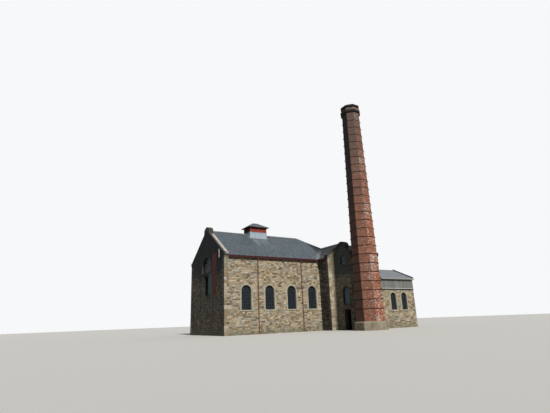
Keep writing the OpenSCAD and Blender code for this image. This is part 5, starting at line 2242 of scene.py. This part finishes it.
@dataclass
class RoofTrim:
    """Collars of the ridge and hip rolls, and the brackets under the gutters."""

    roll: float = 0.122
    spacing: float = 0.62
    bracket_spacing: float = 0.91
    lines: ClassVar[tuple[tuple[Triple, Triple], ...]] = (
        ((0.75, 6.13, 14.592), (6.45, 6.13, 14.592)),
        ((9.65, 6.13, 14.592), (15.60, 6.13, 14.592)),
        ((15.90, 5.96, 14.473), (18.45, 3.41, 12.687)),
        ((15.90, 6.30, 14.473), (21.75, 12.15, 10.377)),
        ((18.62, -1.50, 12.568), (18.62, 3.05, 12.568)),
    )

    def collars(self) -> None:
        """Sets a lead clip round the rolls at each joint."""
        bench = Bench()
        for start, end in self.lines:
            first, last = Vector(CORNER) + Vector(start), Vector(CORNER) + Vector(end)
            axis = last - first
            count = max(1, round(axis.length / self.spacing))
            half = axis.normalized() * 0.022
            for number in range(count + 1):
                place = first.lerp(last, number / count)
                bench.rod(place - half, place + half, self.roll, sides=14)
        bench.piece("roll_collars", LEAD, "lead")

    def brackets(self) -> None:
        """Sets the iron brackets that carry the hall and bay gutters."""
        bench = Bench()
        runs = (
            ((0.9, 15.0), "x", -1.0, -0.15, 9.853),
            ((0.9, 21.7), "x", 1.0, 12.41, 9.853),
            ((-1.4, 12.2), "y", 1.0, 22.01, 9.853),
            ((17.4, 21.1), "x", -1.0, -6.01, 9.853),
        )
        for (first, last), axis, sign, wall, foot in runs:
            for place in np.linspace(first, last, round((last - first) / self.bracket_spacing)):
                near, far = sorted((wall + sign * 0.005, wall + sign * 0.158))
                low, high = (place - 0.014, near), (place + 0.014, far)
                if axis == "y":
                    low, high = low[::-1], high[::-1]
                bench.box((*low, foot - 0.012), (*high, foot + 0.004))
        bench.piece("gutter_brackets", GUTTER, "gutter_iron", bevel=0.002)

    def build(self) -> None:
        """Builds the trim of the roofs."""
        self.collars()
        self.brackets()


@dataclass
class RangeTrim:
    """Sheet ribs, ridge cap, verge, drip flashings and painted drip shadow of the low range."""

    left: float = HALL_RIGHT
    right: float = RANGE_RIGHT
    front: float = BAY_FRONT
    rear: float = RANGE_REAR
    pitch: float = 24.0
    eaves_overhang: float = 0.22
    roof_foot: float = 6.952
    roof_thick: float = 0.12
    rib_spacing: float = 0.25
    drip_height: float = 5.50
    shadow_plate_height: float = 0.15
    fixing_pitch: float = 0.21
    fixing_rows: Triple = (5.72, 6.28, 6.88)

    def slopes(self) -> Iterator[tuple[Plane, float]]:
        """Yields the upper face of each slope and its length up to the ridge."""
        lean = math.radians(self.pitch)
        reach = (self.rear - self.front) / 2 + self.eaves_overhang
        foot = self.roof_foot + self.roof_thick / math.cos(lean)
        for x, y, facing in ((self.left, self.front - self.eaves_overhang, Facing.FRONT),
                             (self.right, self.rear + self.eaves_overhang, Facing.REAR)):
            yield (Slope(x, y, facing, self.pitch, foot, (0.0,), (0.0,), (0.0,)).plane,
                   reach / math.cos(lean))

    def roof(self) -> None:
        """Sets the ribs, the side laps and the ridge cap of the roof sheets."""
        bench = Bench()
        length = self.right - self.left
        for plane, reach in self.slopes():
            for number, s in enumerate(np.linspace(0.06, length - 0.04,
                                                   round(length / self.rib_spacing))):
                lap = 0.006 if number % 4 == 0 else 0.0
                bench.bar(plane, (s, 0.01), (s, reach - 0.12), 0.042 + 2 * lap,
                          (-0.004, 0.026 + lap))
            bench.bar(plane, (0.0, reach - 0.11), (length + 0.08, reach - 0.11), 0.24,
                      (0.024, 0.038))
        bench.piece("range_roof_ribs", SHEET_ROOF, "grey_sheet_roof", bevel=0.004)

    def flashings(self) -> None:
        """Sets the pale drip flashing at the cladding's foot, a dark plate of painted shadow under
        it, and the verge.
        """
        bench = Bench()
        low, high, out = self.drip_height - 0.012, self.drip_height + 0.075, 0.147
        end = self.right + 0.02
        bench.box((self.left, self.front - out, low), (end, self.front - 0.06, high))
        bench.box((self.left, self.rear + 0.06, low), (end, self.rear + out, high))
        bench.piece("range_flashings", FLASHING, "grey_cladding", bevel=0.003)
        bench = Bench()
        # Dark plates under the drips: painted shadow.
        foot = low - self.shadow_plate_height
        bench.box((self.left, self.front - 0.062, foot), (end, self.front + 0.02, low))
        bench.box((self.left, self.rear - 0.02, foot), (end, self.rear + 0.062, low))
        for plane, reach in self.slopes():
            edge = self.right - self.left
            if plane.along[0] < 0.0:
                edge = 0.0
            bench.bar(plane, (edge, 0.0), (edge, reach - 0.02), 0.15, (-0.09, 0.14))
        bench.piece("range_verges_and_shadow_plates", VERGE_AND_SHADOW_PAINT, "grey_sheet_roof", bevel=0.004)

    def fixings(self) -> None:
        """Sets the hexagon heads that hold the cladding."""
        bench = Bench()
        pitch = self.fixing_pitch
        for plane, length in (
            (Plane.upright(self.left, self.front - 0.1, Facing.FRONT), self.right - self.left),
            (Plane.upright(self.right, self.rear + 0.1, Facing.REAR), self.right - self.left),
        ):
            for number in range(int(length / pitch)):
                s = (number + 0.5) * pitch
                for z in self.fixing_rows:
                    bench.pin(plane, (s, z, -0.006), (s, z, 0.010), 0.011)
        bench.piece("cladding_fixings", FLASHING, "grey_cladding")

    def build(self) -> None:
        """Builds the trim of the range."""
        self.roof()
        self.flashings()
        self.fixings()


@dataclass
class GableFittings:
    """Frame and rivets of the slot plates in the rope gable, and the green door leaf."""

    middle: float = 9.01
    half: float = 0.70
    low: float = 5.20
    high: float = 10.90
    rivet_spacing: float = 0.19
    leaf: tuple[Pair, Pair] = ((6.97, 5.24), (7.83, 8.24))
    leaf_board: float = 0.143
    leaf_joint: float = 0.008
    leaf_depth: Pair = (0.030, 0.070)
    ledge: float = 0.17
    brace: float = 0.12

    def door(self) -> None:
        """Hangs the ledged leaf, which is folded back flat on the wall."""
        plane = Plane.upright(0.0, HALL_REAR, Facing.LEFT)
        (left, low), (right, high) = self.leaf
        bench, dice = Bench(), random.Random(17)
        edges = np.linspace(left, right, round((right - left) / self.leaf_board) + 1)
        for start, end in zip(edges, edges[1:]):
            middle = (start + end) / 2
            bench.bar(plane, (middle, low), (middle, high), end - start - self.leaf_joint,
                      self.leaf_depth, (dice.random(), 0.5, 0.0))
        levels = np.linspace(low + 0.25, high - 0.25, 3)
        for z in levels:
            bench.bar(plane, (left + 0.03, z), (right - 0.03, z), self.ledge, (0.069, 0.102),
                      (dice.random(), 0.5, 0.0))
        for start, end in zip(levels, levels[1:]):
            bench.bar(plane, (left + 0.12, start + 0.06), (right - 0.12, end - 0.06),
                      self.brace, (0.069, 0.098), (dice.random(), 0.5, 0.0))
        bench.piece("gable_door_leaf", GREEN_TIMBER, "green_timber", bevel=0.004)
        irons = Bench()
        for z in (levels[0], levels[-1]):
            irons.bar(plane, (left - 0.09, z), (right - 0.16, z), 0.055, (0.101, 0.110))
            irons.pin(plane, (left - 0.07, z - 0.09, 0.055),
                      (left - 0.07, z + 0.09, 0.055), 0.024, sides=8)
            irons.bar(plane, (left - 0.09, z), (left - 0.05, z), 0.10, (-0.02, 0.104))
        irons.piece("gable_door_hinges", BAND_IRON, "band_iron", bevel=0.002)

    def build(self) -> None:
        """Builds the frame, the rivets and the door leaf."""
        self.door()
        plane = Plane.upright(0.0, HALL_REAR, Facing.LEFT)
        bench = Bench()
        left, right = self.middle - self.half, self.middle + self.half
        for start, end in (((left, self.low), (left, self.high)),
                           ((right, self.low), (right, self.high)),
                           ((left, self.low), (right, self.low)),
                           ((left, self.high), (right, self.high))):
            bench.bar(plane, start, end, 0.11, (-0.02, 0.016))
        for z in np.linspace(self.low, self.high, 5)[1:-1]:
            bench.bar(plane, (left, z), (right, z), 0.09, (-0.03, 0.004))
        columns = (left, left + 2 * self.half / 3, right - 2 * self.half / 3, right)
        for s in columns:
            for z in np.arange(self.low + 0.1, self.high - 0.05, self.rivet_spacing):
                bench.pin(plane, (s, z, 0.0), (s, z, 0.024), 0.020, sides=8, tip=0.008)
        bench.piece("slot_frame_and_rivets", RED_PLATE, "red_oxide_steel")


# The studio


@dataclass
class Studio:
    """Camera, pale floor and soft light."""

    place: Triple = (-35.310, -48.2405, 1.6)
    yaw: float = 31.83
    pitch: float = 16.22
    roll: float = -2.16
    focal_pixels: float = 392.64
    image_width: float = 550.0
    sensor: float = 36.0
    floor_colour: Colour = (0.62, 0.61, 0.585)
    floor_bounce: Colour = (0.20, 0.20, 0.18)
    key_strength: float = 3.3
    key_from_right: float = -8.0
    key_height: float = 40.0
    fill_strength: float = 0.22

    def camera(self) -> None:
        """Sets the camera where the photograph was taken from."""
        data = bpy.data.cameras.new("camera")
        data.sensor_fit, data.sensor_width = "HORIZONTAL", self.sensor
        data.lens = self.focal_pixels / self.image_width * self.sensor
        data.clip_end = 500.0
        made = link("camera", data)
        yaw, pitch = math.radians(self.yaw), math.radians(self.pitch)
        ahead = Vector(
            (math.sin(yaw) * math.cos(pitch), math.cos(yaw) * math.cos(pitch), math.sin(pitch)))
        right = Vector((math.cos(yaw), -math.sin(yaw), 0.0))
        roll = Matrix.Rotation(math.radians(self.roll), 3, -ahead)
        right, upward = roll @ right, roll @ right.cross(ahead)
        turn = Matrix((right, upward, -ahead)).transposed()
        made.matrix_world = Matrix.Translation(self.place) @ turn.to_4x4()
        bpy.context.scene.camera = made

    def floor(self) -> None:
        """Lays a plain pale floor out to the horizon."""
        mesh = bmesh.new()
        bmesh.ops.create_circle(mesh, cap_ends=True, segments=64, radius=220.0)
        data = bpy.data.meshes.new("floor")
        mesh.to_mesh(data)
        mesh.free()
        made = link("floor", data)
        paint = bpy.data.materials.new("pale_floor")
        paint.use_nodes = True
        shader = paint.node_tree.nodes["Principled BSDF"]
        graph = Graph(paint.node_tree)
        seen = graph.node("ShaderNodeLightPath").outputs["Is Camera Ray"]
        graph.feed(
            graph.mix(seen, self.floor_bounce, self.floor_colour), shader.inputs["Base Color"])
        shader.inputs["Roughness"].default_value = 0.95
        data.materials.append(paint)

    def light(self) -> None:
        """Sets one broad lamp from the front right and a weak even fill."""
        lamp = bpy.data.lights.new("key", "SUN")
        lamp.energy, lamp.angle = self.key_strength, math.radians(6.0)
        lamp.color = (1.0, 0.965, 0.905)
        made = link("key", lamp)
        turn, lift = math.radians(self.key_from_right), math.radians(self.key_height)
        aim = Vector(
            (-math.sin(turn) * math.cos(lift), math.cos(turn) * math.cos(lift), -math.sin(lift)))
        made.rotation_mode = "QUATERNION"
        made.rotation_quaternion = aim.to_track_quat("-Z", "Y")
        world = bpy.data.worlds.new("studio")
        world.use_nodes = True
        graph = Graph(world.node_tree)
        back = world.node_tree.nodes["Background"]
        rays = graph.node("ShaderNodeLightPath")
        seen = graph.math("MAXIMUM", rays.outputs["Is Camera Ray"], graph.math(
            "MAXIMUM", rays.outputs["Is Glossy Ray"],
            rays.outputs["Is Transmission Ray"]))
        graph.feed(graph.mix(seen, (0.82, 0.91, 1.0), (0.93, 0.94, 0.95)), back.inputs["Color"])
        graph.feed(graph.spread(seen, 0.0, 1.0, self.fill_strength, 1.0), back.inputs["Strength"])
        bpy.context.scene.world = world

    def build(self) -> None:
        """Sets up the whole studio."""
        self.camera()
        self.floor()
        self.light()
        settings = bpy.context.scene.view_settings
        settings.view_transform = "Standard"


def dress_frame() -> None:
    """Gives each CAD node its finish."""
    for name, finish in CAD_FINISHES.items():
        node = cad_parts[name]
        node.data.materials.clear()
        node.data.materials.append(finish.material())


def main() -> None:
    """Builds the studio and all pieces in order."""
    logging.basicConfig(level=logging.INFO, format="%(message)s")
    Studio().build()
    dress_frame()
    StoneWalls().build(FACADES)
    SlateRoof().build()
    RoofTrim().build()
    Ventilator().build()
    GableFittings().build()
    RangeTrim().build()
    Chimney().build()


if __name__ == "__main__":
    main()
